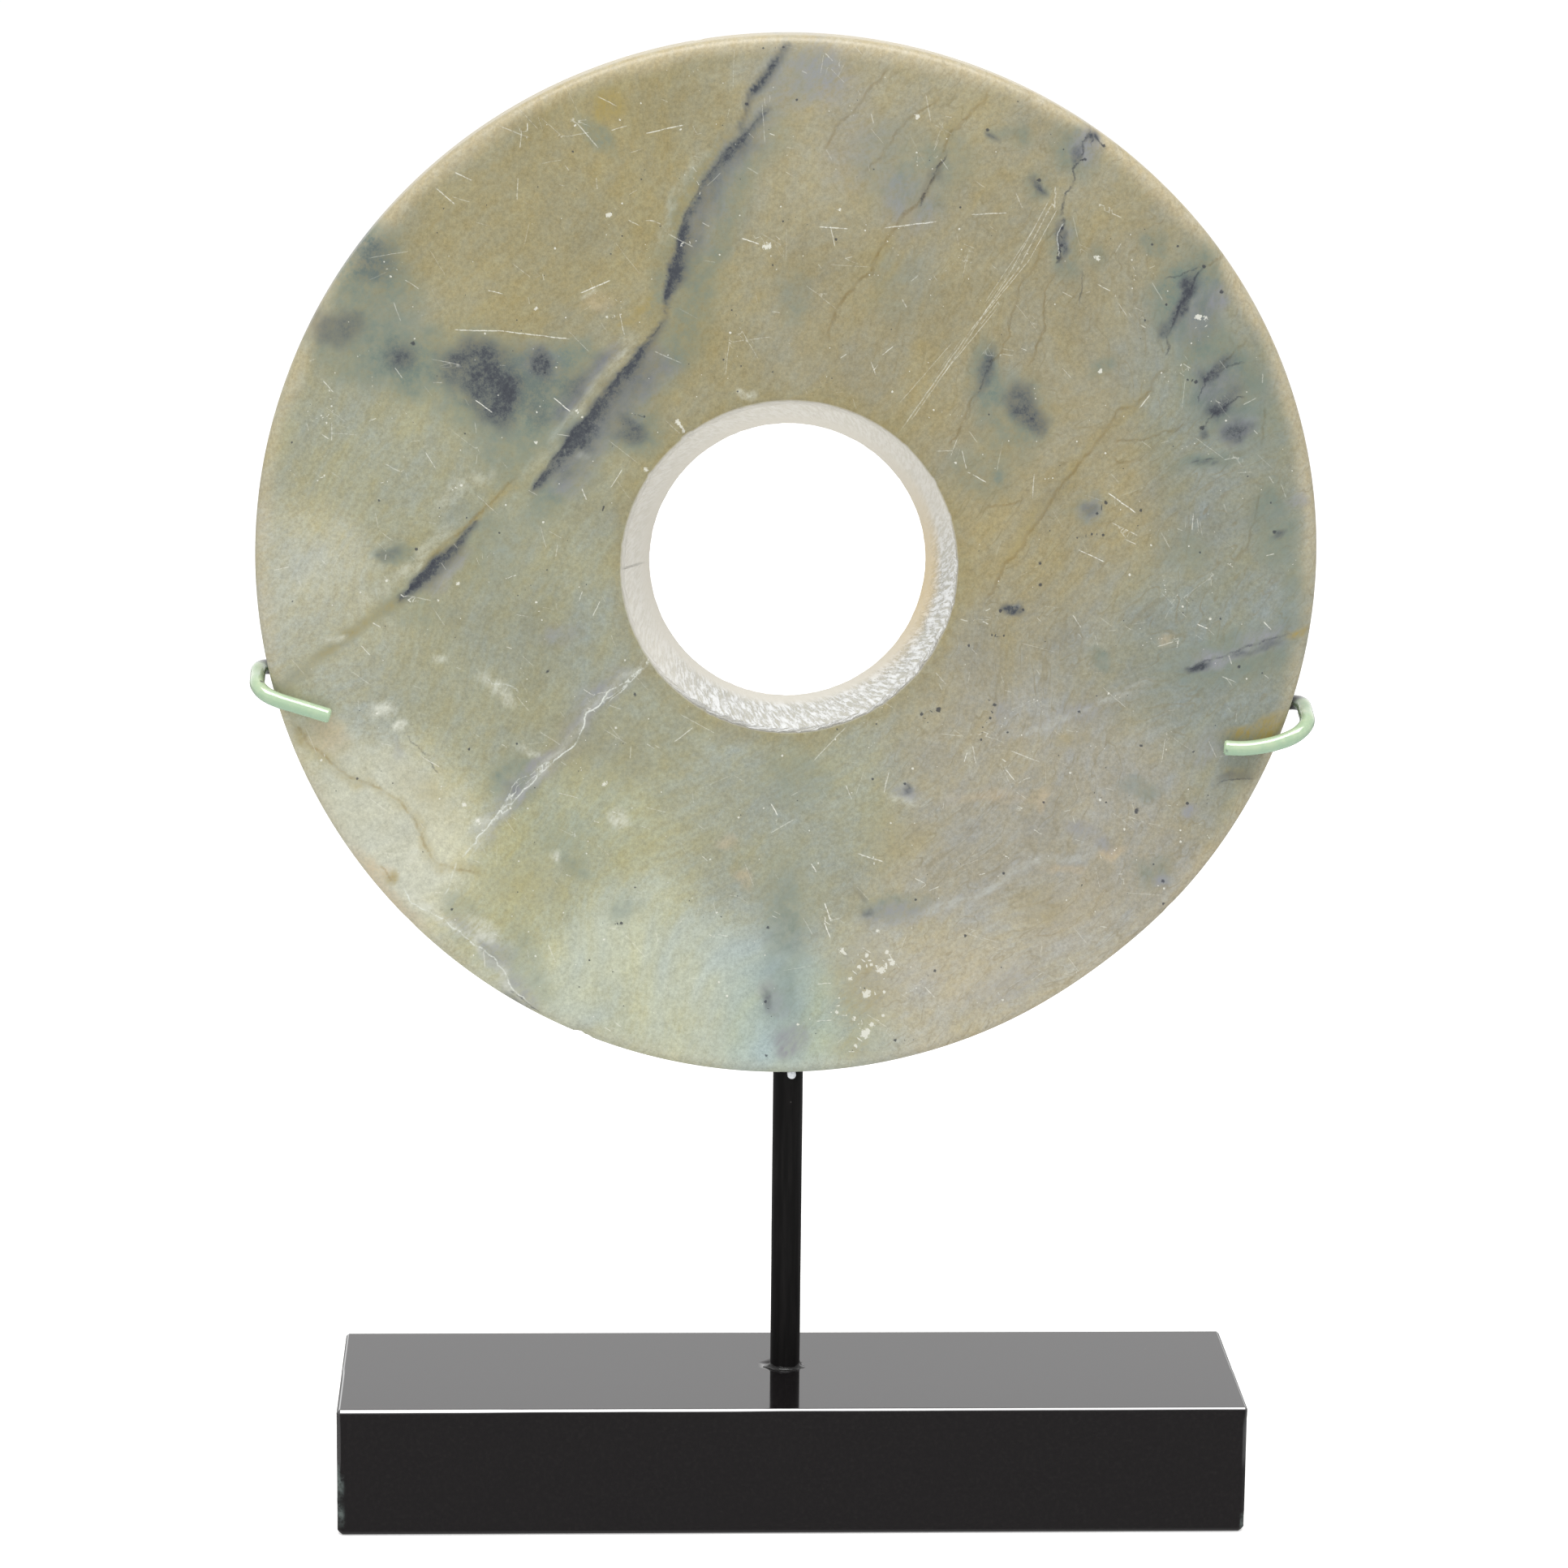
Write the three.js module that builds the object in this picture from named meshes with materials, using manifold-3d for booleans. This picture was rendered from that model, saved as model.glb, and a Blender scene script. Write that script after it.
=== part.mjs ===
// A carved jade bi disc on its display stand.
// Millimetres, +Z up. X runs along the stand's front from left to right, and Y runs to the back.
// The origin is the centre of the base block's underside.
import * as THREE from "three";
import { mergeVertices } from "three/addons/utils/BufferGeometryUtils.js";
import Module from "manifold-3d";

const wasm = await Module();
wasm.setup();

// ---- Driving dimensions -------------------------------------------------------------------

const FIT_GAP = 0.3; // left between pieces that touch or sit in each other
const degrees = THREE.MathUtils.degToRad;

// Base block: polished black stone with eased arrises
const BASE_WIDTH = 190;
const BASE_DEPTH = 51;
const BASE_HEIGHT = 27.6;
const ARRIS = 0.6; // easing of the top and bottom arrises
const CORNER_RADIUS = 0.9; // easing of the four upright corners
const SOCKET_DEPTH = 14; // blind hole for the post

// Post: quarter-inch round bar
const POST_RADIUS = 3.175;
const POST_X = -0.72;
const POST_Y = 2.63;
const POST_TOP = 152; // hidden behind the disc, below its hole
const POST_CHAMFER = 0.5;
const POST_SIDES = 40;

// Disc: slightly oval, ground flat on both faces, edges worn round
const DISC_X = -2.44;
const DISC_Z = 203.4;
const DISC_RADIUS = 107.9;
const DISC_THICKNESS = 10;
const DISC_EDGE_ROUND = 2;
const DISC_SIDES = 132;
const OUT_OF_ROUND = [
  { lobes: 2, swell: 0.5, axis: degrees(3) }, // wider than it is high
  { lobes: 3, swell: 0.22, axis: degrees(25) },
];
const GROUND_FLAT = { depth: 0.35, middle: degrees(-52), spread: degrees(7) };

// Hole: drilled from the front, so it narrows to the back
const HOLE_FRONT_RADIUS = 34.1;
const HOLE_BACK_RADIUS = 28.4;
const HOLE_SHIFT_X = 0.3; // from the disc's centre to the hole's
const HOLE_SHIFT_Z = -0.6;
const HOLE_RIM_EASE = 0.5;
const HOLE_LAND = 1; // short straight wall where the drill broke through

// Prongs: eighth-inch wire, brazed to the post's sides, hooked round the disc's edge
const WIRE_RADIUS = 1.5875;
const WIRE_SIDES = 12;
const JOINT_HEIGHT = 145; // where both prongs leave the post
const BACK_BEND = 4.2; // centre-line radius of the bend behind the disc
const FRONT_BEND = 5; // and of the one in front of it
const PRONG = {
  left: {
    side: -1,
    reach: 110.7, // outermost point of the centre-line, from the middle plane
    height: 178.7, // height of that point
    drop: 3.7, // how far the wire sinks on its way round the edge
    slope: degrees(17.5), // of the finger, where it starts
    curl: 0, // by how much the finger turns back to level
    finger: 10.8,
  },
  right: {
    side: 1,
    reach: 105.3,
    height: 171.5,
    drop: 3.9,
    slope: degrees(22),
    curl: degrees(-29),
    finger: 13.3,
  },
};

// Rest pin: short sleeved pin on the post's front, under the disc's lowest edge
const PIN_RADIUS = 0.9;
const PIN_X = -0.35;
const PIN_FRONT = -7.2;
const PIN_EASE = 0.2;
const PIN_SIDES = 20;

// ---- Sizes that follow from them ----------------------------------------------------------

const DISC_BACK = POST_Y - POST_RADIUS - FIT_GAP;
const DISC_FRONT = DISC_BACK - DISC_THICKNESS;
const WIRE_BACK = DISC_BACK + FIT_GAP + WIRE_RADIUS;
const WIRE_FRONT = DISC_FRONT - FIT_GAP - WIRE_RADIUS;

// ---- Materials ----------------------------------------------------------------------------

const finish = (color, roughness, metalness = 0) =>
  new THREE.MeshStandardMaterial({ color, roughness, metalness });

// ---- Helpers ------------------------------------------------------------------------------

// A closed geometry as a manifold solid.
function solidFrom(geometry) {
  const bare = geometry.clone();
  bare.deleteAttribute("normal");
  bare.deleteAttribute("uv");
  const merged = mergeVertices(bare, 1e-4);
  return new wasm.Manifold(
    new wasm.Mesh({
      numProp: 3,
      vertProperties: Float32Array.from(merged.attributes.position.array),
      triVerts: Uint32Array.from(merged.index.array),
    }),
  );
}

// A manifold solid as a geometry with flat-shaded faces.
function geometryFrom(solid) {
  const { vertProperties, triVerts } = solid.getMesh();
  const geometry = new THREE.BufferGeometry();
  geometry.setAttribute("position", new THREE.BufferAttribute(vertProperties, 3));
  geometry.setIndex(new THREE.BufferAttribute(triVerts, 1));
  geometry.computeVertexNormals();
  return geometry;
}

function named(name, geometry, material) {
  const mesh = new THREE.Mesh(geometry, material);
  mesh.name = name;
  return mesh;
}

// Points of an arc in the plane of a lathe profile.
function arc(x, y, radius, from, to, steps) {
  return Array.from({ length: steps + 1 }, (_, i) => {
    const a = from + ((to - from) * i) / steps;
    return new THREE.Vector2(x + radius * Math.cos(a), y + radius * Math.sin(a));
  });
}

// An upright bar with eased ends, standing on z = 0 of its own frame.
function easedBar(radius, length, ease, sides) {
  const profile = [
    new THREE.Vector2(0, 0),
    new THREE.Vector2(radius - ease, 0),
    new THREE.Vector2(radius, ease),
    new THREE.Vector2(radius, length - ease),
    new THREE.Vector2(radius - ease, length),
    new THREE.Vector2(0, length),
  ];
  return new THREE.LatheGeometry(profile, sides).rotateX(Math.PI / 2);
}

// ---- Base block ---------------------------------------------------------------------------

function makeBaseBlock() {
  const halfWidth = BASE_WIDTH / 2;
  const halfDepth = BASE_DEPTH / 2;
  const outline = new THREE.Shape();
  const corners = [
    [halfWidth, halfDepth],
    [-halfWidth, halfDepth],
    [-halfWidth, -halfDepth],
    [halfWidth, -halfDepth],
  ];
  corners.forEach(([x, y], i) => {
    const centreX = x - Math.sign(x) * CORNER_RADIUS;
    const centreY = y - Math.sign(y) * CORNER_RADIUS;
    const start = (i * Math.PI) / 2;
    outline.absarc(centreX, centreY, CORNER_RADIUS, start, start + Math.PI / 2);
  });
  const block = new THREE.ExtrudeGeometry(outline, {
    depth: BASE_HEIGHT - 2 * ARRIS,
    bevelThickness: ARRIS,
    bevelSize: ARRIS,
    bevelOffset: -ARRIS,
    bevelSegments: 2,
    curveSegments: 3,
  }).translate(0, 0, ARRIS);

  const clearance = 1; // the cutter stands above the top face
  const cutter = new THREE.CylinderGeometry(
    POST_RADIUS + FIT_GAP,
    POST_RADIUS + FIT_GAP,
    SOCKET_DEPTH + clearance,
    POST_SIDES,
  )
    .rotateX(Math.PI / 2)
    .translate(POST_X, POST_Y, BASE_HEIGHT + (clearance - SOCKET_DEPTH) / 2);
  const drilled = solidFrom(block).subtract(solidFrom(cutter));
  return named("base_block", geometryFrom(drilled), finish(0x262425, 0.12));
}

// ---- Post ---------------------------------------------------------------------------------

function makePost() {
  const foot = BASE_HEIGHT - SOCKET_DEPTH + FIT_GAP;
  const bar = easedBar(POST_RADIUS, POST_TOP - foot, POST_CHAMFER, POST_SIDES);
  const post = named("post", bar, finish(0x1a1819, 0.45));
  post.position.set(POST_X, POST_Y, foot);
  return post;
}

// ---- Disc ---------------------------------------------------------------------------------

// How far the rim stands out from a true circle at an angle from +X towards +Z.
function rimSwell(angle) {
  const lobes = OUT_OF_ROUND.reduce(
    (sum, { lobes, swell, axis }) => sum + swell * Math.cos(lobes * (angle - axis)),
    0,
  );
  const away = Math.atan2(
    Math.sin(angle - GROUND_FLAT.middle),
    Math.cos(angle - GROUND_FLAT.middle),
  );
  return lobes - GROUND_FLAT.depth * Math.exp(-((away / GROUND_FLAT.spread) ** 2) / 2);
}

function makeDisc() {
  const round = DISC_EDGE_ROUND;
  const quarter = Math.PI / 2;
  const profile = [
    new THREE.Vector2(HOLE_BACK_RADIUS, -HOLE_LAND),
    new THREE.Vector2(HOLE_FRONT_RADIUS - HOLE_RIM_EASE, HOLE_RIM_EASE - DISC_THICKNESS),
    new THREE.Vector2(HOLE_FRONT_RADIUS + HOLE_RIM_EASE, -DISC_THICKNESS),
    ...arc(DISC_RADIUS - round, round - DISC_THICKNESS, round, -quarter, 0, 4),
    ...arc(DISC_RADIUS - round, -round, round, 0, quarter, 4),
    new THREE.Vector2(HOLE_BACK_RADIUS + HOLE_RIM_EASE, 0),
    new THREE.Vector2(HOLE_BACK_RADIUS, -HOLE_RIM_EASE),
    new THREE.Vector2(HOLE_BACK_RADIUS, -HOLE_LAND),
  ];
  const geometry = new THREE.LatheGeometry(profile, DISC_SIDES);
  const position = geometry.attributes.position;
  const middle = (HOLE_FRONT_RADIUS + DISC_RADIUS) / 2;
  for (let i = 0; i < position.count; i += 1) {
    const x = position.getX(i);
    const z = position.getZ(i);
    const radius = Math.hypot(x, z);
    if (radius > middle) {
      const stretch = 1 + rimSwell(Math.atan2(z, x)) / radius;
      position.setX(i, x * stretch);
      position.setZ(i, z * stretch);
    } else {
      position.setX(i, x + HOLE_SHIFT_X);
      position.setZ(i, z + HOLE_SHIFT_Z);
    }
  }
  const disc = named("jade_disc", geometry, finish(0xaaa689, 0.35));
  disc.position.set(DISC_X, DISC_BACK, DISC_Z);
  return disc;
}

// ---- Prongs -------------------------------------------------------------------------------

// The wire's centre-line: up from the post behind the disc, round its edge, and along its face.
function prongPath({ side, reach, height, drop, slope, curl, finger }) {
  const middle = (WIRE_BACK + WIRE_FRONT) / 2;
  const half = (WIRE_BACK - WIRE_FRONT) / 2;
  const quarter = Math.PI / 2;
  const backArc = quarter * BACK_BEND;
  const frontArc = quarter * FRONT_BEND;
  const straight = 2 * half - BACK_BEND - FRONT_BEND;
  const whole = backArc + straight + frontArc;
  const armRise = height + drop / 2 - JOINT_HEIGHT;
  const armRun = reach - BACK_BEND + side * POST_X;
  const rise = Math.atan2(armRise, armRun);
  // sinks smoothly from half the drop above the outermost point to half below it
  const sink = (run) => drop * (0.5 - THREE.MathUtils.smoothstep(run / whole, 0, 1));
  const place = (inward, angle, y, run) =>
    new THREE.Vector3(
      side * (reach - inward * Math.cos(angle)),
      y,
      height - inward * Math.sin(angle) + sink(run),
    );

  const points = [];
  const bendSteps = 6;
  const armSteps = 9;
  const fingerSteps = 6;
  const bendStart = place(BACK_BEND, rise, WIRE_BACK, 0);
  const joint = new THREE.Vector3(POST_X, WIRE_BACK, 0);
  joint.z = bendStart.z - Math.abs(bendStart.x - joint.x) * Math.tan(rise);
  for (let i = 0; i < armSteps; i += 1) {
    points.push(joint.clone().lerp(bendStart, i / armSteps));
  }
  for (let i = 0; i <= bendSteps; i += 1) {
    const a = (quarter * i) / bendSteps;
    const inward = BACK_BEND * (1 - Math.sin(a));
    const y = WIRE_BACK - BACK_BEND * (1 - Math.cos(a));
    points.push(place(inward, rise, y, BACK_BEND * a));
  }
  points.push(place(0, 0, middle, whole / 2));
  for (let i = 0; i <= bendSteps; i += 1) {
    const a = (quarter * i) / bendSteps;
    const inward = FRONT_BEND * (1 - Math.cos(a));
    const y = WIRE_FRONT + FRONT_BEND * (1 - Math.sin(a));
    points.push(place(inward, slope, y, backArc + straight + FRONT_BEND * a));
  }
  const tip = points[points.length - 1].clone();
  const step = finger / fingerSteps;
  for (let i = 0; i < fingerSteps; i += 1) {
    const angle = slope + (curl * (i + 0.5)) / fingerSteps;
    tip.x -= side * step * Math.cos(angle);
    tip.z -= step * Math.sin(angle);
    points.push(tip.clone());
  }
  return new THREE.CatmullRomCurve3(points, false, "centripetal");
}

function makeProng(name, sizes) {
  const section = new THREE.Shape();
  section.absarc(0, 0, WIRE_RADIUS, 0, 2 * Math.PI);
  const wire = new THREE.ExtrudeGeometry(section, {
    extrudePath: prongPath(sizes),
    steps: 56,
    curveSegments: WIRE_SIDES / 2, // a full circle takes twice this many points
    bevelEnabled: false,
  });
  // the inner end is coped to the post
  const height = 40;
  const coping = new THREE.CylinderGeometry(
    POST_RADIUS + FIT_GAP,
    POST_RADIUS + FIT_GAP,
    height,
    POST_SIDES,
  )
    .rotateX(Math.PI / 2)
    .translate(POST_X, POST_Y, JOINT_HEIGHT);
  const coped = solidFrom(wire).subtract(solidFrom(coping));
  return named(name, geometryFrom(coped), finish(0x9dbb9f, 0.3));
}

// ---- Rest pin -----------------------------------------------------------------------------

function makeRestPin() {
  const back = POST_Y - POST_RADIUS - FIT_GAP;
  const bar = easedBar(PIN_RADIUS, back - PIN_FRONT, PIN_EASE, PIN_SIDES);
  const pin = named("rest_pin", bar, finish(0xe4e6ea, 0.4));
  const underside = DISC_Z - DISC_RADIUS - rimSwell(-Math.PI / 2);
  pin.position.set(PIN_X, back, underside - FIT_GAP - PIN_RADIUS);
  pin.rotation.x = Math.PI / 2;
  return pin;
}

// ---- The object ---------------------------------------------------------------------------

const jadeDiscOnStand = new THREE.Group();
jadeDiscOnStand.add(
  makeBaseBlock(),
  makePost(),
  makeDisc(),
  makeProng("left_prong", PRONG.left),
  makeProng("right_prong", PRONG.right),
  makeRestPin(),
);

export default jadeDiscOnStand;
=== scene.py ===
"""Looks for a carved jade bi disc on its display stand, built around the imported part.

Sizes and places are in millimetres, X along the stand's front, Y to the back and Z up, and become
metres as each mesh is made. Marks in the stone are placed from the disc's centre, X right and Z up.
"""

import logging
import math
from collections.abc import Iterable, Mapping, Sequence
from dataclasses import dataclass, field
from enum import Enum
from typing import Any, ClassVar

import bpy
import numpy as np
from mathutils import Matrix, Vector


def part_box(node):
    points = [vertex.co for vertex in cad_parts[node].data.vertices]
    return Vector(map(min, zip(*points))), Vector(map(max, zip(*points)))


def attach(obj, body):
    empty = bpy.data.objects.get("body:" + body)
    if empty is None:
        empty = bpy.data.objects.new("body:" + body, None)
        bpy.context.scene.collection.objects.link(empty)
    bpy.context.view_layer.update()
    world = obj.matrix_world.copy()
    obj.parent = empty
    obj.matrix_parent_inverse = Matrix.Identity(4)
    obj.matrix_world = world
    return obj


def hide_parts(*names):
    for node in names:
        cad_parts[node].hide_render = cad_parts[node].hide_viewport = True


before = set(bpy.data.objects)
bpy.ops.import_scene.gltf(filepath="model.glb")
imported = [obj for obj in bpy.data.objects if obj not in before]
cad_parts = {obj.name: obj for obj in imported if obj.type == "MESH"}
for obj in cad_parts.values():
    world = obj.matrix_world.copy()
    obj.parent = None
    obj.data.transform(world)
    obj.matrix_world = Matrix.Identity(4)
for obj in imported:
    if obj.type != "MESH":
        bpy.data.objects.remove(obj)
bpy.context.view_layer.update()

MM = 0.001
BODY = "root"
TAU = 2 * math.pi
log = logging.getLogger("jade_disc")

Array = np.ndarray
Path2D = Sequence[Sequence[float]]
Rows = tuple[tuple[Any, ...], ...]
Value = "Wire | float"


# ---- Small helpers ----


def tone(code: str) -> tuple[float, float, float]:
    """A colour such as "#AAA689" as the shader's linear numbers.

    Args:
        code: Six hex digits after a hash, as seen on a screen.

    Returns:
        Red, green and blue from 0 to 1, linear.
    """
    parts = [int(code[i : i + 2], 16) / 255 for i in (1, 3, 5)]
    return tuple(p / 12.92 if p <= 0.04045 else ((p + 0.055) / 1.055) ** 2.4 for p in parts)


def ramp(value: Array, low: float, high: float) -> Array:
    """0 at low, 1 at high, with a smooth run between them; low may be the larger."""
    t = np.clip((value - low) / (high - low), 0, 1)
    return t * t * (3 - 2 * t)


def columns(*parts: Array | float) -> Array:
    """Rows made of columns, each an array or one number for every row."""
    return np.stack(np.broadcast_arrays(*parts), axis=1)


def round_steps(count: int) -> Array:
    """Angles at even steps round a full turn."""
    return np.arange(count) / count * TAU


def turn_from(angle: Array, degrees: float) -> Array:
    """How far angles lie from a direction in degrees, at most half a turn either way."""
    return np.angle(np.exp(1j * (angle - math.radians(degrees))))


def in_mm(box: Sequence[Vector]) -> tuple[Vector, Vector]:
    """The lower and the upper corner of a box given in metres."""
    low, high = box
    return Vector(low) / MM, Vector(high) / MM


def lattice(i: Array, j: Array, seed: int) -> Array:
    """A fixed random number from -1 to 1 for each whole-number place.

    Args:
        i: First whole numbers.
        j: Second whole numbers.
        seed: Picks the pattern.

    Returns:
        The numbers.
    """
    mask = np.uint64(0xFFFFFFFF)
    h = i.astype(np.int64).astype(np.uint64) * np.uint64(374761393)
    h = (h + j.astype(np.int64).astype(np.uint64) * np.uint64(668265263)) & mask
    h = (h + np.uint64(seed * 974711)) & mask
    h = ((h ^ (h >> np.uint64(13))) * np.uint64(1274126177)) & mask
    h = h ^ (h >> np.uint64(16))
    return h.astype(float) / 2**31 - 1


def noise(x: Array, y: Array, cell: float, seed: int, octaves: int = 1) -> Array:
    """Smooth noise over a plane.

    Args:
        x: First coordinates, in mm.
        y: Second coordinates, in mm.
        cell: Size of the largest feature, in mm.
        seed: Picks the pattern.
        octaves: How many times a finer, weaker layer is added.

    Returns:
        Values around 0, mostly within -1 to 1.
    """
    total = np.zeros_like(x, dtype=float)
    for octave in range(octaves):
        u, v = x * 2**octave / cell, y * 2**octave / cell
        i, j = np.floor(u), np.floor(v)
        fu, fv = u - i, v - j
        fu, fv = fu * fu * (3 - 2 * fu), fv * fv * (3 - 2 * fv)
        k = seed + 31 * octave
        near = lattice(i, j, k) * (1 - fu) + lattice(i + 1, j, k) * fu
        far = lattice(i, j + 1, k) * (1 - fu) + lattice(i + 1, j + 1, k) * fu
        total += (near * (1 - fv) + far * fv) * 0.5**octave
    return total


def smooth_path(points: Sequence[Sequence[float]], step: float = 1.0) -> Array:
    """A smooth curve through points.

    Args:
        points: Two or more rows that begin with a place on the plane, in mm.
        step: Rough spacing of the samples.

    Returns:
        One row for each sample, with every column of the points smoothed.
    """
    p = np.array(points, float)
    ends = np.vstack([2 * p[0] - p[1], p, 2 * p[-1] - p[-2]])
    rows = []
    for a, b, c, d in zip(ends, ends[1:], ends[2:], ends[3:]):
        count = max(1, round(float(np.hypot(*(c - b)[:2])) / step))
        t = (np.arange(count) / count)[:, None]
        rows.append(
            0.5 * (2 * b + (c - a) * t + (2 * a - 5 * b + 4 * c - d) * t**2
                   + (3 * b - a - 3 * c + d) * t**3)
        )
    return np.vstack([*rows, p[-1:]])


def run_length(path: Array) -> Array:
    """How far along a path on the plane each of its samples lies."""
    return np.concatenate([[0], np.cumsum(np.hypot(*np.diff(path[:, :2], axis=0).T))])


def wire_length(line: Array) -> Array:
    """How far along a line through space each of its samples lies."""
    return np.concatenate([[0], np.cumsum(np.linalg.norm(np.diff(line, axis=0), axis=1))])


def off_ends(share: Array, low: float, high: float) -> Array:
    """0 at both ends of a line and 1 along the rest, by the share of its length gone."""
    return ramp(np.minimum(share, 1 - share), low, high)


def nearest(marks: Iterable[tuple[Array, Array]], count: int) -> tuple[Array, Array]:
    """Finds the nearest mark for each point.

    Args:
        marks: For each mark, its distance from every point and its row of numbers there.
        count: How many points there are.

    Returns:
        The nearest mark's rows and the distance to it.
    """
    rows, best = np.zeros((count, 3)), np.full(count, np.inf)
    for away, found in marks:
        closer = away < best
        rows[closer] = found[closer]
        best[closer] = away[closer]
    return rows, best


def to_path(x: Array, z: Array, path: Array) -> tuple[Array, Array]:
    """Where points lie beside a path.

    Args:
        x: The points' first coordinates.
        z: Their second coordinates.
        path: Rows that begin with two coordinates.

    Returns:
        The distance to the path, positive on its left, and the share of its length gone there.
    """
    best = np.full(x.shape, np.inf)
    signed, share = np.zeros(x.shape), np.zeros(x.shape)
    gone = run_length(path)
    for start, end, before, after in zip(path[:-1, :2], path[1:, :2], gone, gone[1:]):
        length = after - before
        if length == 0:
            continue
        ux, uz = (end - start) / length
        dx, dz = x - start[0], z - start[1]
        along = np.clip(dx * ux + dz * uz, 0, length)
        away = np.hypot(dx - along * ux, dz - along * uz)
        closer = away < best
        side = np.where(ux * dz - uz * dx >= 0, 1.0, -1.0)
        best = np.where(closer, away, best)
        signed = np.where(closer, away * side, signed)
        share = np.where(closer, (before + along) / gone[-1], share)
    return signed, share


# ---- Shader graphs ----


class Wire:
    """One value in a shader, with arithmetic that adds the Math nodes it needs."""

    def __init__(self, graph: "Graph", socket: bpy.types.NodeSocket) -> None:
        """Wraps a node's output socket."""
        self.graph = graph
        self.socket = socket

    def __add__(self, other: Value) -> "Wire":
        """self + other."""
        return self.graph.maths("ADD", self, other)

    __radd__ = __add__

    def __mul__(self, other: Value) -> "Wire":
        """self * other."""
        return self.graph.maths("MULTIPLY", self, other)

    __rmul__ = __mul__

    def __sub__(self, other: Value) -> "Wire":
        """self - other."""
        return self.graph.maths("SUBTRACT", self, other)

    def __rsub__(self, other: float) -> "Wire":
        """other - self."""
        return self.graph.maths("SUBTRACT", other, self)

    def __truediv__(self, other: Value) -> "Wire":
        """self / other."""
        return self.graph.maths("DIVIDE", self, other)

    def __abs__(self) -> "Wire":
        """self without its sign."""
        return self.graph.maths("ABSOLUTE", self)

    def held(self) -> "Wire":
        """self kept within 0 to 1."""
        return self.graph.maths("ADD", self, 0.0, clamp=True)


def solid(colour: Any) -> Any:
    """A colour as a socket takes it, from a code, three numbers or a wire.

    Args:
        colour: A code, three numbers from 0 to 1, or a wire.

    Returns:
        Four numbers, or the wire.
    """
    if isinstance(colour, Wire):
        return colour
    return (*(tone(colour) if isinstance(colour, str) else colour), 1)


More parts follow.
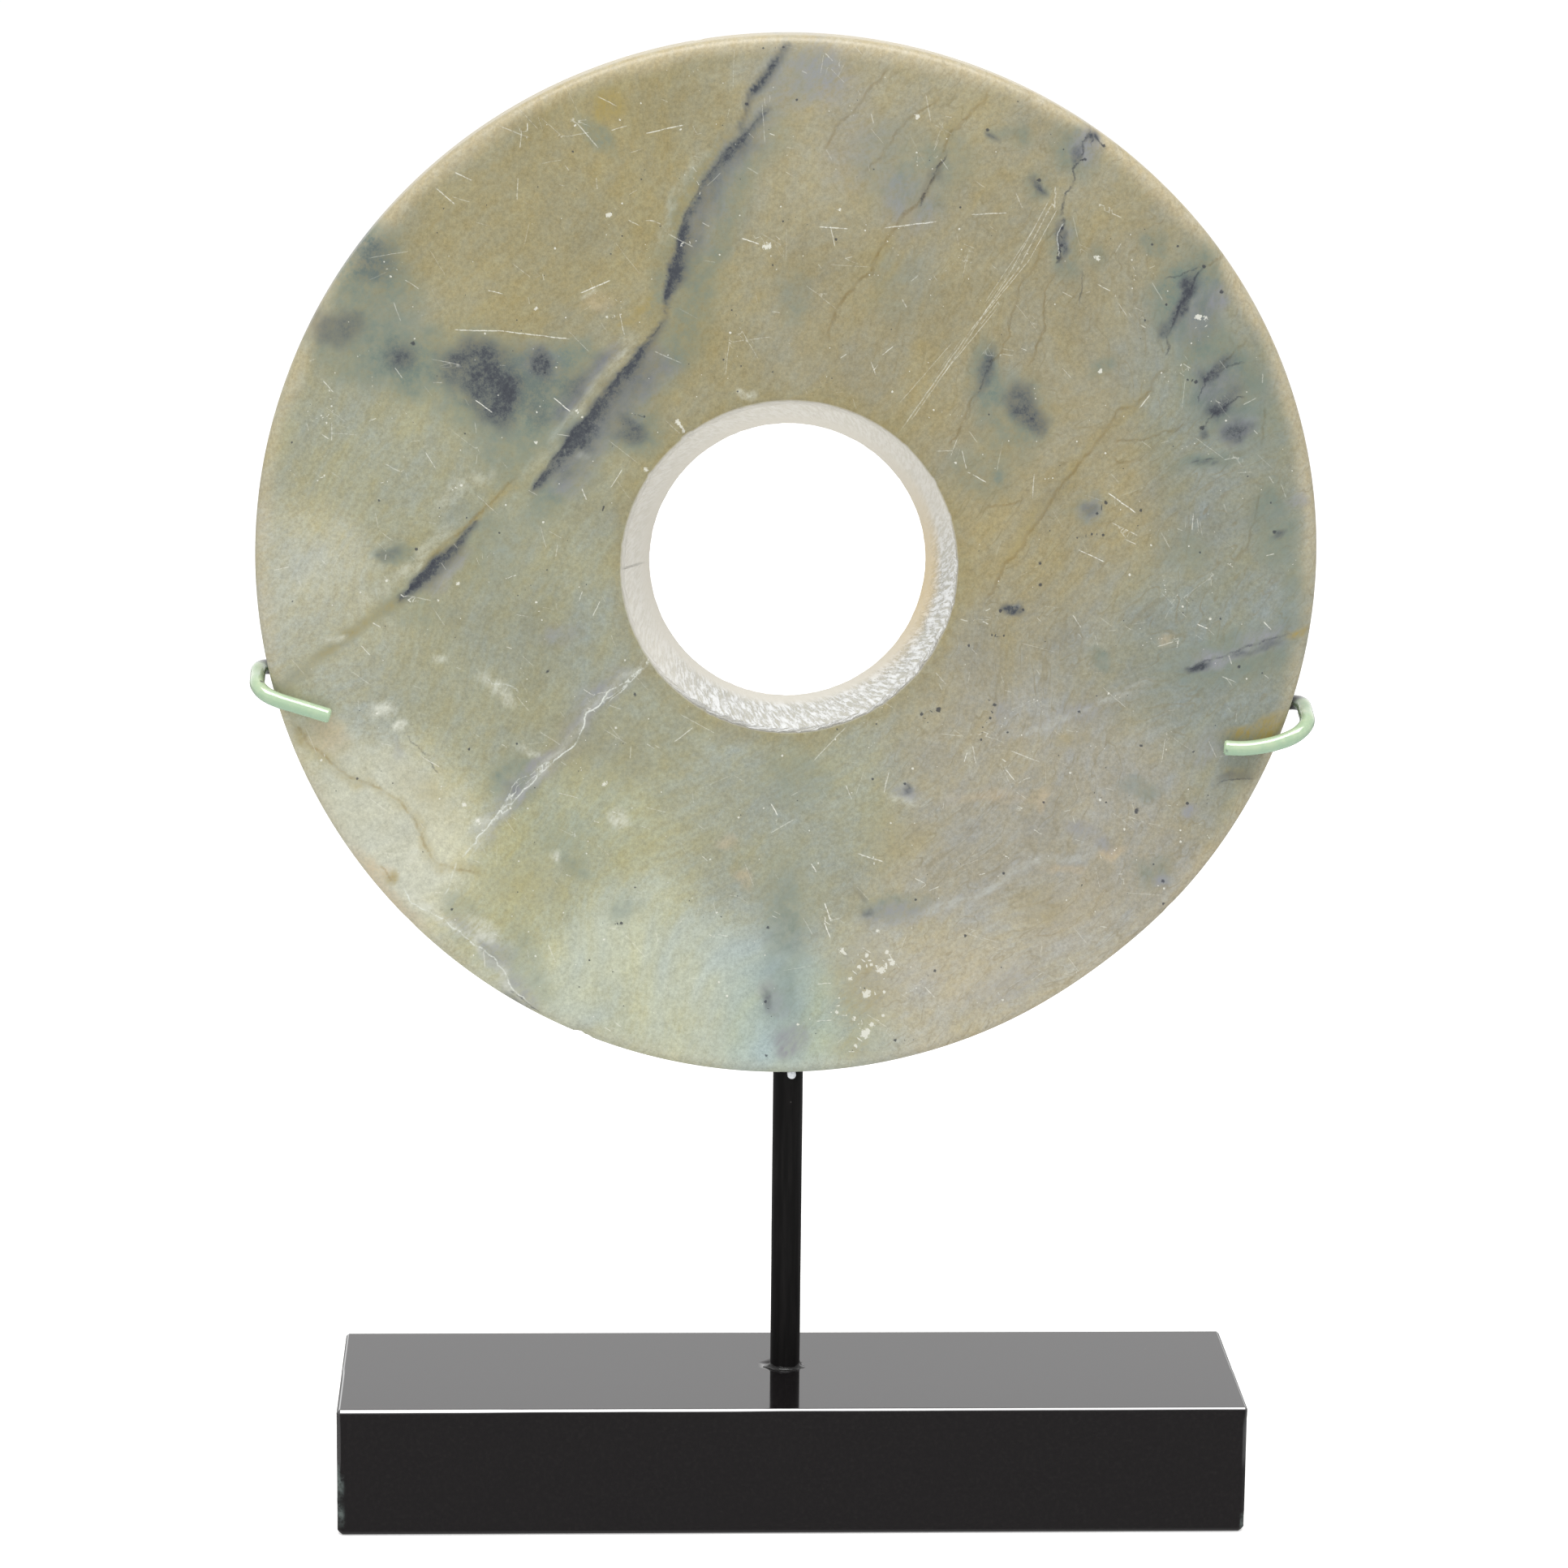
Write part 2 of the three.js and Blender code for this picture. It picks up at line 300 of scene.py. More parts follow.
class Graph:
    """A node tree, filled by calls that return wires."""

    def __init__(self, tree: bpy.types.NodeTree) -> None:
        """Empties a node tree and takes it over."""
        self.tree = tree
        tree.nodes.clear()

    def node(
        self,
        kind: str,
        settings: Mapping[str, Any] | None = None,
        sockets: Mapping[str | int, Any] | None = None,
        output: str | int = 0,
    ) -> Wire:
        """Adds a node.

        Args:
            kind: The node's type, such as "ShaderNodeTexNoise".
            settings: Its own properties, which are set first.
            sockets: A value or a wire for each input, by name or number.
            output: The output that the wire is taken from.

        Returns:
            The chosen output.
        """
        made = self.tree.nodes.new(kind)
        for name, value in (settings or {}).items():
            setattr(made, name, value)
        for name, value in (sockets or {}).items():
            if isinstance(value, Wire):
                self.tree.links.new(value.socket, made.inputs[name])
            else:
                made.inputs[name].default_value = value
        return Wire(self, made.outputs[output]) if made.outputs else Wire(self, None)

    def maths(self, operation: str, *values: Value, clamp: bool = False) -> Wire:
        """The result of a Math node on one or two values."""
        settings = {"operation": operation, "use_clamp": clamp}
        return self.node("ShaderNodeMath", settings, dict(enumerate(values)))

    def mix(self, share: Value, first: Any, second: Any) -> Wire:
        """A colour that is first where share is 0 and second where it is 1."""
        sockets = {0: share, 6: solid(first), 7: solid(second)}
        return self.node("ShaderNodeMix", {"data_type": "RGBA"}, sockets, output=2)

    def scaled(self, vector: Wire, factor: Value) -> Wire:
        """A colour or vector times a number."""
        return self.node("ShaderNodeVectorMath", {"operation": "SCALE"}, {0: vector, 3: factor})

    def times(self, first: Any, second: Any) -> Wire:
        """Two colours or vectors multiplied part by part."""
        settings = {"operation": "MULTIPLY"}
        return self.node("ShaderNodeVectorMath", settings, {0: first, 1: second})

    def parts(self, vector: Wire) -> tuple[Wire, Wire, Wire]:
        """A vector's three numbers.

        Args:
            vector: The vector.

        Returns:
            Its three parts.
        """
        first = self.node("ShaderNodeSeparateXYZ", None, {0: vector})
        outputs = first.socket.node.outputs
        return tuple(Wire(self, output) for output in outputs)

    def step(self, value: Wire, low: Value, high: Value) -> Wire:
        """0 at low and 1 at high, with a smooth run between them."""
        settings = {"interpolation_type": "SMOOTHSTEP"}
        return self.node("ShaderNodeMapRange", settings, {0: value, 1: low, 2: high})

    def attribute(self, name: str) -> Wire:
        """A value that the mesh holds at each vertex."""
        return self.node("ShaderNodeAttribute", {"attribute_name": name}, output="Vector")

    def place(self) -> Wire:
        """The place on the piece, in mm."""
        metres = self.node("ShaderNodeTexCoord", output="Object")
        return self.scaled(metres, 1 / MM)

    def noise(self, at: Wire, cell: float, detail: float = 2, rough: float = 0.5) -> Wire:
        """Soft noise from 0 to 1 whose largest feature is about cell mm across."""
        sockets = {"Vector": at, "Scale": 1 / cell, "Detail": detail, "Roughness": rough}
        return self.node("ShaderNodeTexNoise", None, sockets)

    def dots(self, at: Wire, cell: float, radius: float, kept: float) -> Wire:
        """Small round dots at random places: 1 on a dot and 0 elsewhere.

        Args:
            at: The place on the piece.
            cell: The size of a cell, in mm.
            radius: The radius, in mm.
            kept: The share of cells that keep their dot.

        Returns:
            The dots.
        """
        settings = {"voronoi_dimensions": "3D", "feature": "F1"}
        sockets = {"Vector": at, "Scale": 1 / cell, "Randomness": 1.0}
        away = self.node("ShaderNodeTexVoronoi", settings, sockets, output="Distance")
        chance = Wire(self, away.socket.node.outputs["Color"])
        size, luck, _ = self.parts(chance)
        reach = (size * 0.7 + 0.3) * radius
        return self.step(away * cell / reach, 1.0, 0.5) * self.step(luck, 1 - kept, 1 - kept + 0.05)

    def bump(self, height: Wire, depth: float) -> Wire:
        """A bump whose full height is depth mm."""
        sockets = {"Strength": 1.0, "Distance": depth * MM, "Height": height}
        return self.node("ShaderNodeBump", None, sockets)

    def surface(self, sockets: Mapping[str, Any]) -> None:
        """Closes a material with one Principled shader, given a value or a wire for its sockets."""
        shader = self.node("ShaderNodeBsdfPrincipled", None, sockets)
        self.node("ShaderNodeOutputMaterial", None, {"Surface": shader})


def new_material(name: str) -> tuple[bpy.types.Material, Graph]:
    """An empty material and the graph to fill it with.

    Args:
        name: The material's name.

    Returns:
        The material and its graph.
    """
    material = bpy.data.materials.new(name)
    material.use_nodes = True
    return material, Graph(material.node_tree)


# ---- Finishes ----


class Finish:
    """A material, whose kinds differ in their title and in what they fill its graph with."""

    title: ClassVar[str]

    def fill(self, g: Graph, at: Wire) -> None:
        """Adds the shader, given the place on the piece."""
        raise NotImplementedError

    def material(self) -> bpy.types.Material:
        """Builds the material.

        Returns:
            The material.
        """
        material, g = new_material(self.title)
        self.fill(g, g.place())
        return material


@dataclass(frozen=True)
class JadeFinish(Finish):
    """Polished nephrite: clouded ground, stained veins, healed cracks, scratches and wear."""

    title: ClassVar[str] = "jade_polished"
    graphite: str = "#4E5357"
    graphite_deep: str = "#2F323C"
    moss: str = "#69766C"
    ochre: str = "#93834A"
    web: str = "#75673D"
    rust: tuple[float, float, float] = (0.62, 0.5, 0.3)
    lilac: str = "#85878B"
    milk: str = "#C3C5B8"
    peach: str = "#B9A583"
    crack: str = "#CDD1C9"
    scratch: str = "#D6D6CC"
    wall_pale: str = "#C9C5BC"
    wall_dull: str = "#AFAC9E"
    wall_shade: str = "#AAA89E"
    wall_frost: str = "#CFD0CF"
    wall_peach: str = "#C9B488"
    rough: float = 0.3
    rough_wall: float = 0.75

    def fill(self, g: Graph, at: Wire) -> None:
        """Lays the stains, cracks, wear and the hole's wall over the ground, by the mesh's marks.

        Args:
            g: The material's graph.
            at: The place on the piece.
        """
        grain = g.noise(at, 0.62, 2, 0.8)
        flake = g.noise(at, 2.6, 4, 0.72)
        fibre = g.noise(g.attribute("flow"), 1.5, 3, 0.62)
        strands = g.step(fibre, 0.36, 0.64)
        mottle = g.step(flake, 0.34, 0.66)
        light = 0.48 + grain * 0.68 + mottle * 0.04 + strands * 0.06
        ground = g.attribute("ground")
        _, _, blue = g.parts(ground)
        tint = g.mix(mottle * 0.55 + strands * 0.45, (1.035, 1.0, 0.9), (0.97, 1.01, 1.07))
        tint = g.mix(g.step(blue, 0.29, 0.43) * 0.9, tint, (1.0, 1.0, 0.975))
        colour = g.scaled(g.times(ground, tint), light)
        colour = g.mix(self._web(g, at, mottle), colour, self.web)
        colour = self._stained(g, colour, grain, mottle, strands)
        colour = self._cracked(g, colour, grain, flake, fibre)
        colour, worn = self._worn(g, colour, grain, flake)
        colour, wall, pecks = self._hole_wall(g, colour, grain, fibre)
        height = grain * 0.3 + fibre * 0.3 + pecks * wall * 4
        roughness = (self.rough + flake * 0.14 + worn * 0.2) * (1 - wall) + wall * self.rough_wall
        g.surface({"Base Color": colour, "Roughness": roughness, "Normal": g.bump(height, 0.03),
                   "IOR": 1.61, "Specular IOR Level": 0.35})

    @staticmethod
    def _web(g: Graph, at: Wire, mottle: Wire) -> Wire:
        """How strongly the net of fine ochre veins shows, thickest over the right half.

        Args:
            g: The material's graph.
            at: The place on the piece.
            mottle: Soft blotches.

        Returns:
            The strength, from 0 to 1.
        """
        across, _, up = g.parts(at)
        swell = g.noise(g.attribute("flow"), 5.5, 2, 0.6)
        line = g.step(abs(swell - 0.5), 0.02, 0.003)
        return line * mottle * (0.06 + g.step(across, -15, 35) * g.step(up, -70, 0) * 0.32)

    def _stained(self, g: Graph, colour: Wire, grain: Wire, mottle: Wire, strands: Wire) -> Wire:
        """Lays the soft stains over the ground, each broken up by the stone's own texture.

        Args:
            g: The material's graph.
            colour: The colour so far.
            grain: Fine noise.
            mottle: Soft blotches.
            strands: Soft streaks.

        Returns:
            The stained colour.
        """
        graphite, moss, ochre = g.parts(g.attribute("stains"))
        lilac, milk, peach = g.parts(g.attribute("clouds"))
        pepper = g.step(grain, 0.3, 0.7)
        patchy = 0.4 + mottle * 0.6 + pepper * 0.5
        streaked = 0.3 + strands * 0.75 + pepper * 0.45
        for amount, texture, shade in (
            (peach, patchy, self.peach), (moss, patchy, self.moss), (lilac, streaked, self.lilac),
            (ochre, streaked, self.ochre), (milk, streaked, self.milk),
        ):
            colour = g.mix((amount * texture).held(), colour, shade)
        dark = graphite * (0.7 + mottle * 0.3 + pepper * 0.4)
        colour = g.mix(dark.held(), colour, self.graphite)
        deep = g.step(graphite + pepper * 0.3 + mottle * 0.3, 0.95, 1.5)
        return g.mix(deep * 0.68, colour, self.graphite_deep)

    def _cracked(self, g: Graph, colour: Wire, grain: Wire, flake: Wire, fibre: Wire) -> Wire:
        """Draws the narrow seams: ochre, dark and white.

        Args:
            g: The material's graph.
            colour: The colour so far.
            grain: Fine noise.
            flake: Coarser noise.
            fibre: Noise drawn out along the grain.

        Returns:
            The colour with its seams.
        """
        sway = (flake - 0.5) * 1.3 + (grain - 0.5) * 0.8
        breaks = 0.15 + g.step(fibre + grain * 0.6, 0.6, 0.95) * 0.85
        for name, shade, loose in (
            ("ochre_seam", g.times(colour, self.rust), 1.0),
            ("dark_seam", self.graphite_deep, 1.0),
            ("white_seam", self.crack, 0.55),
        ):
            beside, strength, width = g.parts(g.attribute(name))
            line = g.step(abs(beside + sway * loose), width, width * 0.1)
            colour = g.mix((line * strength * breaks).held(), colour, shade)
        return colour

    def _worn(self, g: Graph, colour: Wire, grain: Wire, flake: Wire) -> tuple[Wire, Wire]:
        """Adds specks, flecks and scratches.

        Args:
            g: The material's graph.
            colour: The colour so far.
            grain: Fine noise.
            flake: Coarser noise.

        Returns:
            The colour, and how scratched it is.
        """
        ragged = (grain - 0.5) * 1.6 + (flake - 0.5) * 0.8
        colour = g.mix(self._spot(g, "speck", ragged) * 0.8, colour, self.graphite_deep)
        sway = (flake - 0.5) * 0.4
        gaps = 0.35 + g.step(grain, 0.38, 0.55) * 0.65
        total = self._spot(g, "fleck", ragged * 1.9) * 0.75
        for name, width in (("scratch", 0.16), ("nick", 0.13), ("hair", 0.1)):
            along, beside, strength = g.parts(g.attribute(name))
            line = g.step(abs(beside + sway), width, width * 0.2) * g.step(abs(along), 1.0, 0.8)
            total = total + line * strength * gaps
        return g.mix(total.held(), colour, self.scratch), total.held()

    @staticmethod
    def _spot(g: Graph, name: str, ragged: Wire) -> Wire:
        """1 inside the nearest placed spot of a kind and 0 elsewhere.

        Args:
            g: The material's graph.
            name: The attribute's name.
            ragged: How the edge wanders.

        Returns:
            The spots, from 0 to 1.
        """
        across, up, radius = g.parts(g.attribute(name))
        away = g.maths("SQRT", across * across + up * up) + ragged * radius
        return g.step(away, radius, radius * 0.5) * g.step(radius, 0.0, 0.1)

    def _hole_wall(self, g: Graph, colour: Wire, grain: Wire, fibre: Wire) -> tuple[Wire, Wire, Wire]:
        """Frosts the wall of the hole.

        Args:
            g: The material's graph.
            colour: The colour so far.
            grain: Fine noise.
            fibre: Noise drawn out along the grain.

        Returns:
            The colour, where the wall is, and its pecking.
        """
        wall, frost, yellow = g.parts(g.attribute("wall"))
        plain = g.mix(0.05 + grain * 0.4, self.wall_pale, self.wall_dull)
        strokes = g.step(fibre + (grain - 0.5) * 0.35, 0.36, 0.62)
        frosted = g.mix(strokes, self.wall_shade, self.wall_frost)
        face = g.mix(frost.held(), plain, frosted)
        face = g.mix((yellow * (0.4 + grain * 0.5)).held(), face, self.wall_peach)
        return g.mix(wall.held(), colour, face), wall.held(), strokes * frost


@dataclass(frozen=True)
class StoneFinish(Finish):
    """Polished black stone: near-mirror faces, brighter arrises, faint smears and pin pits."""

    title: ClassVar[str] = "stone_black_polished"
    body: str = "#121011"
    fleck: str = "#1A1818"
    bruise: str = "#5A6562"
    pit: str = "#3A3836"
    rough: float = 0.035
    bruised_from: tuple[float, float] = (93.0, 94.3)  # bruises pale the stone only out here, in mm

    def fill(self, g: Graph, at: Wire) -> None:
        """Fills the graph; where the block is bruised is read from its mesh.

        Args:
            g: The material's graph.
            at: The place on the piece.
        """
        grain = g.noise(at, 0.8, 4, 0.7)
        smear = g.noise(g.times(at, (0.35, 1.0, 1.0)), 14, 4, 0.6)
        pits = g.dots(at, 3.4, 0.26, 0.3)
        bruise, arris, _ = g.parts(g.attribute("edges"))
        across, _, _ = g.parts(at)
        bruise = bruise * g.step(abs(across), *self.bruised_from)
        colour = g.mix(g.step(grain, 0.45, 0.7), self.body, self.fleck)
        colour = g.mix(pits * 0.6, colour, self.pit)
        colour = g.mix((bruise * g.step(grain, 0.3, 0.6)).held(), colour, self.bruise)
        roughness = self.rough + smear * 0.05 + pits * 0.3 + bruise * 0.4
        height = grain * 0.01 - pits * 0.5
        g.surface({"Base Color": colour, "Roughness": roughness, "Normal": g.bump(height, 0.01),
                   "IOR": 1.52, "Specular Tint": (1.0, 0.965, 0.97, 1.0),
                   "Coat Weight": arris, "Coat IOR": 2.3, "Coat Roughness": 0.03})


@dataclass(frozen=True)
class BlackPaintFinish(Finish):
    """Satin black paint on steel, brushed on, with worn specks."""

    title: ClassVar[str] = "paint_satin_black"
    paint: str = "#0F0E0E"
    thin: str = "#1A1818"
    bare: str = "#5A5856"
    rough: float = 0.36

    def fill(self, g: Graph, at: Wire) -> None:
        """Fills the graph.

        Args:
            g: The material's graph.
            at: The place on the piece.
        """
        drag = g.noise(g.times(at, (1.0, 1.0, 0.06)), 0.9, 4, 0.6)
        peel = g.noise(at, 0.6, 2, 0.5)
        specks = g.dots(at, 4.5, 0.22, 0.25)
        colour = g.mix(g.step(drag, 0.4, 0.75), self.paint, self.thin)
        colour = g.mix(specks * 0.5, colour, self.bare)
        roughness = self.rough + drag * 0.12 + peel * 0.05
        height = drag * 0.6 + peel * 0.4
        g.surface({"Base Color": colour, "Roughness": roughness, "Normal": g.bump(height, 0.03),
                   "IOR": 1.5, "Specular IOR Level": 0.2})


@dataclass(frozen=True)
class GreenPaintFinish(Finish):
    """Pale jade-green paint on the prongs' fronts, running out to black behind the disc, with a painted cool
    shade on the wires' undersides.
    """

    title: ClassVar[str] = "paint_jade_green"
    green: str = "#A2BA97"
    underside_shade: str = "#8FB29D"
    warm: str = "#BCC8A2"
    behind: str = "#1C1B1C"
    nick: str = "#35363A"
    rough: float = 0.2

    def fill(self, g: Graph, at: Wire) -> None:
        """Fills the graph; the run of the wire is read from its mesh.

        Args:
            g: The material's graph.
            at: The place on the piece.
        """
        back, under, chipped = g.parts(g.attribute("wire"))
        blotch = g.noise(at, 2.3, 3, 0.6)
        fine = g.noise(at, 0.5, 3, 0.6)
        colour = g.mix(g.step(blotch, 0.4, 0.7) * 0.6, self.green, self.warm)
        # painted shade: the wires' undersides go over to a cooler, darker green
        colour = g.mix((under * (0.3 + blotch * 0.6)).held(), colour, self.underside_shade)
        specks = g.dots(at, 2.6, 0.2, 0.25)
        colour = g.mix((specks * 0.7 + chipped).held(), colour, self.nick)
        ends = g.step(back + (blotch - 0.5) * 0.35, 0.25, 0.75)
        colour = g.mix(ends, colour, self.behind)
        roughness = self.rough + fine * 0.1 + ends * 0.15 + chipped * 0.2
        height = fine * 0.4 + blotch * 0.5 - chipped * 1.5 - specks * 0.5
        g.surface({"Base Color": colour, "Roughness": roughness, "Normal": g.bump(height, 0.04),
                   "IOR": 1.5, "Coat Weight": 1.0, "Coat IOR": 1.8, "Coat Roughness": 0.08})


@dataclass(frozen=True)
class SleeveFinish(Finish):
    """Milky shrink sleeve over the rest pin."""

    title: ClassVar[str] = "sleeve_milky"
    milk: str = "#E3E6EA"
    shade: str = "#B9BEC6"
    rough: float = 0.22

    def fill(self, g: Graph, at: Wire) -> None:
        """Fills the graph.

        Args:
            g: The material's graph.
            at: The place on the piece.
        """
        cloud = g.noise(at, 0.7, 3, 0.6)
        colour = g.mix(g.step(cloud, 0.35, 0.7), self.milk, self.shade)
        g.surface({"Base Color": colour, "Roughness": self.rough + cloud * 0.15,
                   "Normal": g.bump(cloud, 0.02), "IOR": 1.45,
                   "Subsurface Weight": 0.3, "Subsurface Radius": (0.6, 0.6, 0.6),
                   "Subsurface Scale": MM})


@dataclass(frozen=True)
class EpoxyFinish(Finish):
    """Black epoxy that beds the post in its socket."""

    title: ClassVar[str] = "epoxy_black"
    body: str = "#0B0A0A"
    dusty: str = "#1F1D1C"
    rough: float = 0.16

    def fill(self, g: Graph, at: Wire) -> None:
        """Fills the graph.

        Args:
            g: The material's graph.
            at: The place on the piece.
        """
        lump = g.noise(at, 1.1, 3, 0.6)
        colour = g.mix(g.step(lump, 0.45, 0.7), self.body, self.dusty)
        g.surface({"Base Color": colour, "Roughness": self.rough + lump * 0.2,
                   "Normal": g.bump(lump, 0.08), "IOR": 1.55})


# ---- Meshes ----


def add_object(name: str, data: bpy.types.ID) -> bpy.types.Object:
    """A new object in the scene.

    Args:
        name: The object's name.
        data: Its mesh, lamp or lens.

    Returns:
        The object, linked to the scene.
    """
    made = bpy.data.objects.new(name, data)
    bpy.context.scene.collection.objects.link(made)
    return made


def store(mesh: bpy.types.Mesh, name: str, rows: Array) -> None:
    """Holds three numbers for each vertex of a mesh, for the shader to read."""
    layer = mesh.attributes.new(name, "FLOAT_VECTOR", "POINT")
    layer.data.foreach_set("vector", rows.astype(np.float32).ravel())


class Shell:
    """A closed surface, gathered ring by ring in mm, that ends as one Blender object."""

    def __init__(self) -> None:
        """Starts with no points and no faces."""
        self.points: list[Array] = []
        self.faces: list[tuple[int, ...]] = []
        self.size = 0

    def ring(self, points: Array) -> tuple[int, int]:
        """Adds a ring of points.

        Args:
            points: The ring's points, in mm.

        Returns:
            Where the ring starts and how many points it has.
        """
        start = self.size
        self.points.append(points)
        self.size += len(points)
        return start, len(points)

    def join(self, first: tuple[int, int], second: tuple[int, int]) -> None:
        """Bridges two rings, of equal counts or one with twice the other's.

        Args:
            first: The first ring's start and count.
            second: The second ring's start and count.
        """
        (a, many), (b, other) = first, second
        if many == other:
            for i in range(many):
                j = (i + 1) % many
                self.faces.append((a + i, a + j, b + j, b + i))
        elif other == 2 * many:
            for i in range(many):
                j, k = (i + 1) % many, 2 * i
                self.faces.append((a + i, b + k + 1, b + k))
                self.faces.append((a + i, a + j, b + k + 1))
                self.faces.append((a + j, b + (k + 2) % other, b + k + 1))
        else:
            before = len(self.faces)
            self.join(second, first)
            self.faces[before:] = [face[::-1] for face in self.faces[before:]]

    def skin(self, rings: Iterable[Array], closed: bool = False) -> list[tuple[int, int]]:
        """Adds rings, each bridged to the next and, if closed, the last to the first.

        Args:
            rings: The rings, in order.
            closed: Whether the last ring meets the first.

        Returns:
            Each ring's start and count.
        """
        spans = [self.ring(ring) for ring in rings]
        for first, second in zip(spans, spans[1:] + (spans[:1] if closed else [])):
            self.join(first, second)
        return spans

    def tube(self, rings: Iterable[Array], start: Sequence[float], end: Sequence[float]) -> None:
        """Adds rings bridged each to the next, and closes them with fans round two points.

        Args:
            rings: The rings, in order.
            start: The point that closes the first ring.
            end: The point that closes the last ring.
        """
        spans = self.skin(rings)
        self.cap(spans[0], start, flip=True)
        self.cap(spans[-1], end)

    def cap(self, ring: tuple[int, int], tip: Sequence[float], flip: bool = False) -> None:
        """Closes a ring with a fan round a point.

        Args:
            ring: The ring's start and count.
            tip: The point in its middle.
            flip: Whether the faces turn the other way.
        """
        start, count = ring
        middle, _ = self.ring(np.array([tip], float))
        for i in range(count):
            face = (start + i, start + (i + 1) % count, middle)
            self.faces.append(face[::-1] if flip else face)

    def build(
        self,
        name: str,
        material: bpy.types.Material,
        marks: Mapping[str, Array] | None = None,
    ) -> bpy.types.Object:
        """Makes the object, with its faces pointing out.

        Args:
            name: The piece's name.
            material: Its finish.
            marks: Rows of three numbers for each vertex, by attribute name.

        Returns:
            The object, linked to the scene.
        """
        points = np.vstack(self.points)
        mesh = bpy.data.meshes.new(name)
        mesh.from_pydata((points * MM).tolist(), [], self.faces)
        mesh.validate()
        corners = np.array([face[:3] for face in self.faces])
        a, b, c = (points[corners[:, i]] for i in range(3))
        if float(np.einsum("ij,ij->i", a, np.cross(b, c)).sum()) < 0:
            mesh.flip_normals()
        for key, rows in (marks or {}).items():
            store(mesh, key, rows)
        mesh.shade_smooth()
        mesh.materials.append(material)
        return add_object(name, mesh)


def place_piece(piece: bpy.types.Object, slot: str, *stands_for: str) -> None:
    """Rides a piece on the part's body, hides the CAD nodes it stands for and logs them.

    Args:
        piece: The finished object.
        slot: The record's material slot; not used.
        stands_for: The CAD nodes that aren't shown because of it.
    """
    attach(piece, BODY)
    if stands_for:
        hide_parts(*stands_for)
    triangles = sum(len(p.vertices) - 2 for p in piece.data.polygons)
    size = ", ".join(f"{side / MM:.1f}" for side in piece.dimensions)
    log.info("%s: %d triangles, %s mm, stands for %s", piece.name, triangles, size,
             ", ".join(stands_for) or "nothing in CAD")


def lathe(profile: Sequence[tuple[float, float]], sides: int, x: float, y: float) -> Shell:
    """A solid turned round an upright axis.

    Args:
        profile: Radius and height from the lower end up, the ends being closed with fans.
        sides: Points round each ring.
        x: The axis's place.
        y: And its depth.

    Returns:
        The shell, ready to build.
    """
    angle = round_steps(sides)
    rings = (columns(x + radius * np.cos(angle), y + radius * np.sin(angle), height)
             for radius, height in profile)
    shell = Shell()
    shell.tube(rings, (x, y, profile[0][1]), (x, y, profile[-1][1]))
    return shell


# ---- Marks in the stone ----


class Pigment(Enum):
    """What stains the stone, as the attribute and the part of it that hold how much."""

    GRAPHITE = ("stains", 0)
    MOSS = ("stains", 1)
    OCHRE = ("stains", 2)
    LILAC = ("clouds", 0)
    MILK = ("clouds", 1)
    PEACH = ("clouds", 2)


class SeamKind(Enum):
    """The kinds of narrow line, by the attribute that holds them."""

    DARK = "dark_seam"
    OCHRE = "ochre_seam"
    WHITE = "white_seam"


@dataclass(frozen=True)
class Field:
    """One broad area of the ground and its colour."""

    colour: str
    x: float
    z: float
    reach: float


@dataclass(frozen=True)
class Patch:
    """A soft-edged oval stain."""

    x: float
    z: float
    half_width: float
    half_height: float
    cover: float
    turn: float = 0.0

    def amount(self, x: Array, z: Array) -> Array:
        """How much of the pigment lies at each point.

        Args:
            x: Across, in mm.
            z: Up, in mm.

        Returns:
            The amount at each point.
        """
        c, s = math.cos(math.radians(self.turn)), math.sin(math.radians(self.turn))
        dx, dz = x - self.x, z - self.z
        along, up = (dx * c + dz * s) / self.half_width, (dz * c - dx * s) / self.half_height
        return self.cover * ramp(np.hypot(along, up), 1.45, 0.4)


@dataclass(frozen=True)
class Ribbon:
    """A soft-edged stain that follows a line."""

    half_width: float
    cover: float
    fade: float
    path: Path2D

    def amount(self, x: Array, z: Array) -> Array:
        """How much of the pigment lies at each point.

        Args:
            x: Across, in mm.
            z: Up, in mm.

        Returns:
            The amount at each point.
        """
        beside, share = to_path(x, z, smooth_path(self.path, 3))
        across = ramp(np.abs(beside) / self.half_width, 1.5, 0.2)
        return self.cover * across * off_ends(share, -0.001, self.fade)


@dataclass(frozen=True)
class Vein:
    """A stain with a crisp side and a soft one.

    Each point of the path is a place, the half width there and how deep the colour is. Walking
    the path, the soft side is on the left.
    """

    soft: float
    path: Path2D

    def amount(self, x: Array, z: Array) -> Array:
        """How much of the pigment lies at each point.

        Args:
            x: Across, in mm.
            z: Up, in mm.

        Returns:
            The amount at each point.
        """
        path = smooth_path(self.path, 2)
        beside, share = to_path(x, z, path)
        gone = run_length(path) / run_length(path)[-1]
        width, depth = np.interp(share, gone, path[:, 2]), np.interp(share, gone, path[:, 3])
        crisp = ramp(-beside, width * 1.2 + 0.5, width * 0.1)
        soft = ramp(beside, width * (1.2 + self.soft) + 0.5, width * 0.1)
        return depth * np.where(beside < 0, crisp, soft) * off_ends(share, -0.0001, 0.03)


@dataclass(frozen=True)
class Seam:
    """A narrow line, jagged as a crack is."""

    half_width: float
    strength: float
    jag: float
    path: Path2D
    near: float = 2.4

    def at(self, x: Array, z: Array, seed: int) -> tuple[Array, Array]:
        """How far each point is, and the way across, the strength and the half width there.

        Args:
            x: Across, in mm.
            z: Up, in mm.
            seed: Picks the pattern.

        Returns:
            The distances and the rows.
        """
        path = smooth_path([row[:2] for row in self.path], 0.9)
        shake = columns(*(noise(*path.T, 2.6, seed + k, 2) for k in (0, 7)))
        beside, share = to_path(x, z, path + shake * self.jag)
        away = np.abs(beside)
        strength = self.strength * ramp(away, self.near, self.near * 0.55)
        return away, columns(beside, strength * off_ends(share, -0.0005, 0.06), self.half_width)


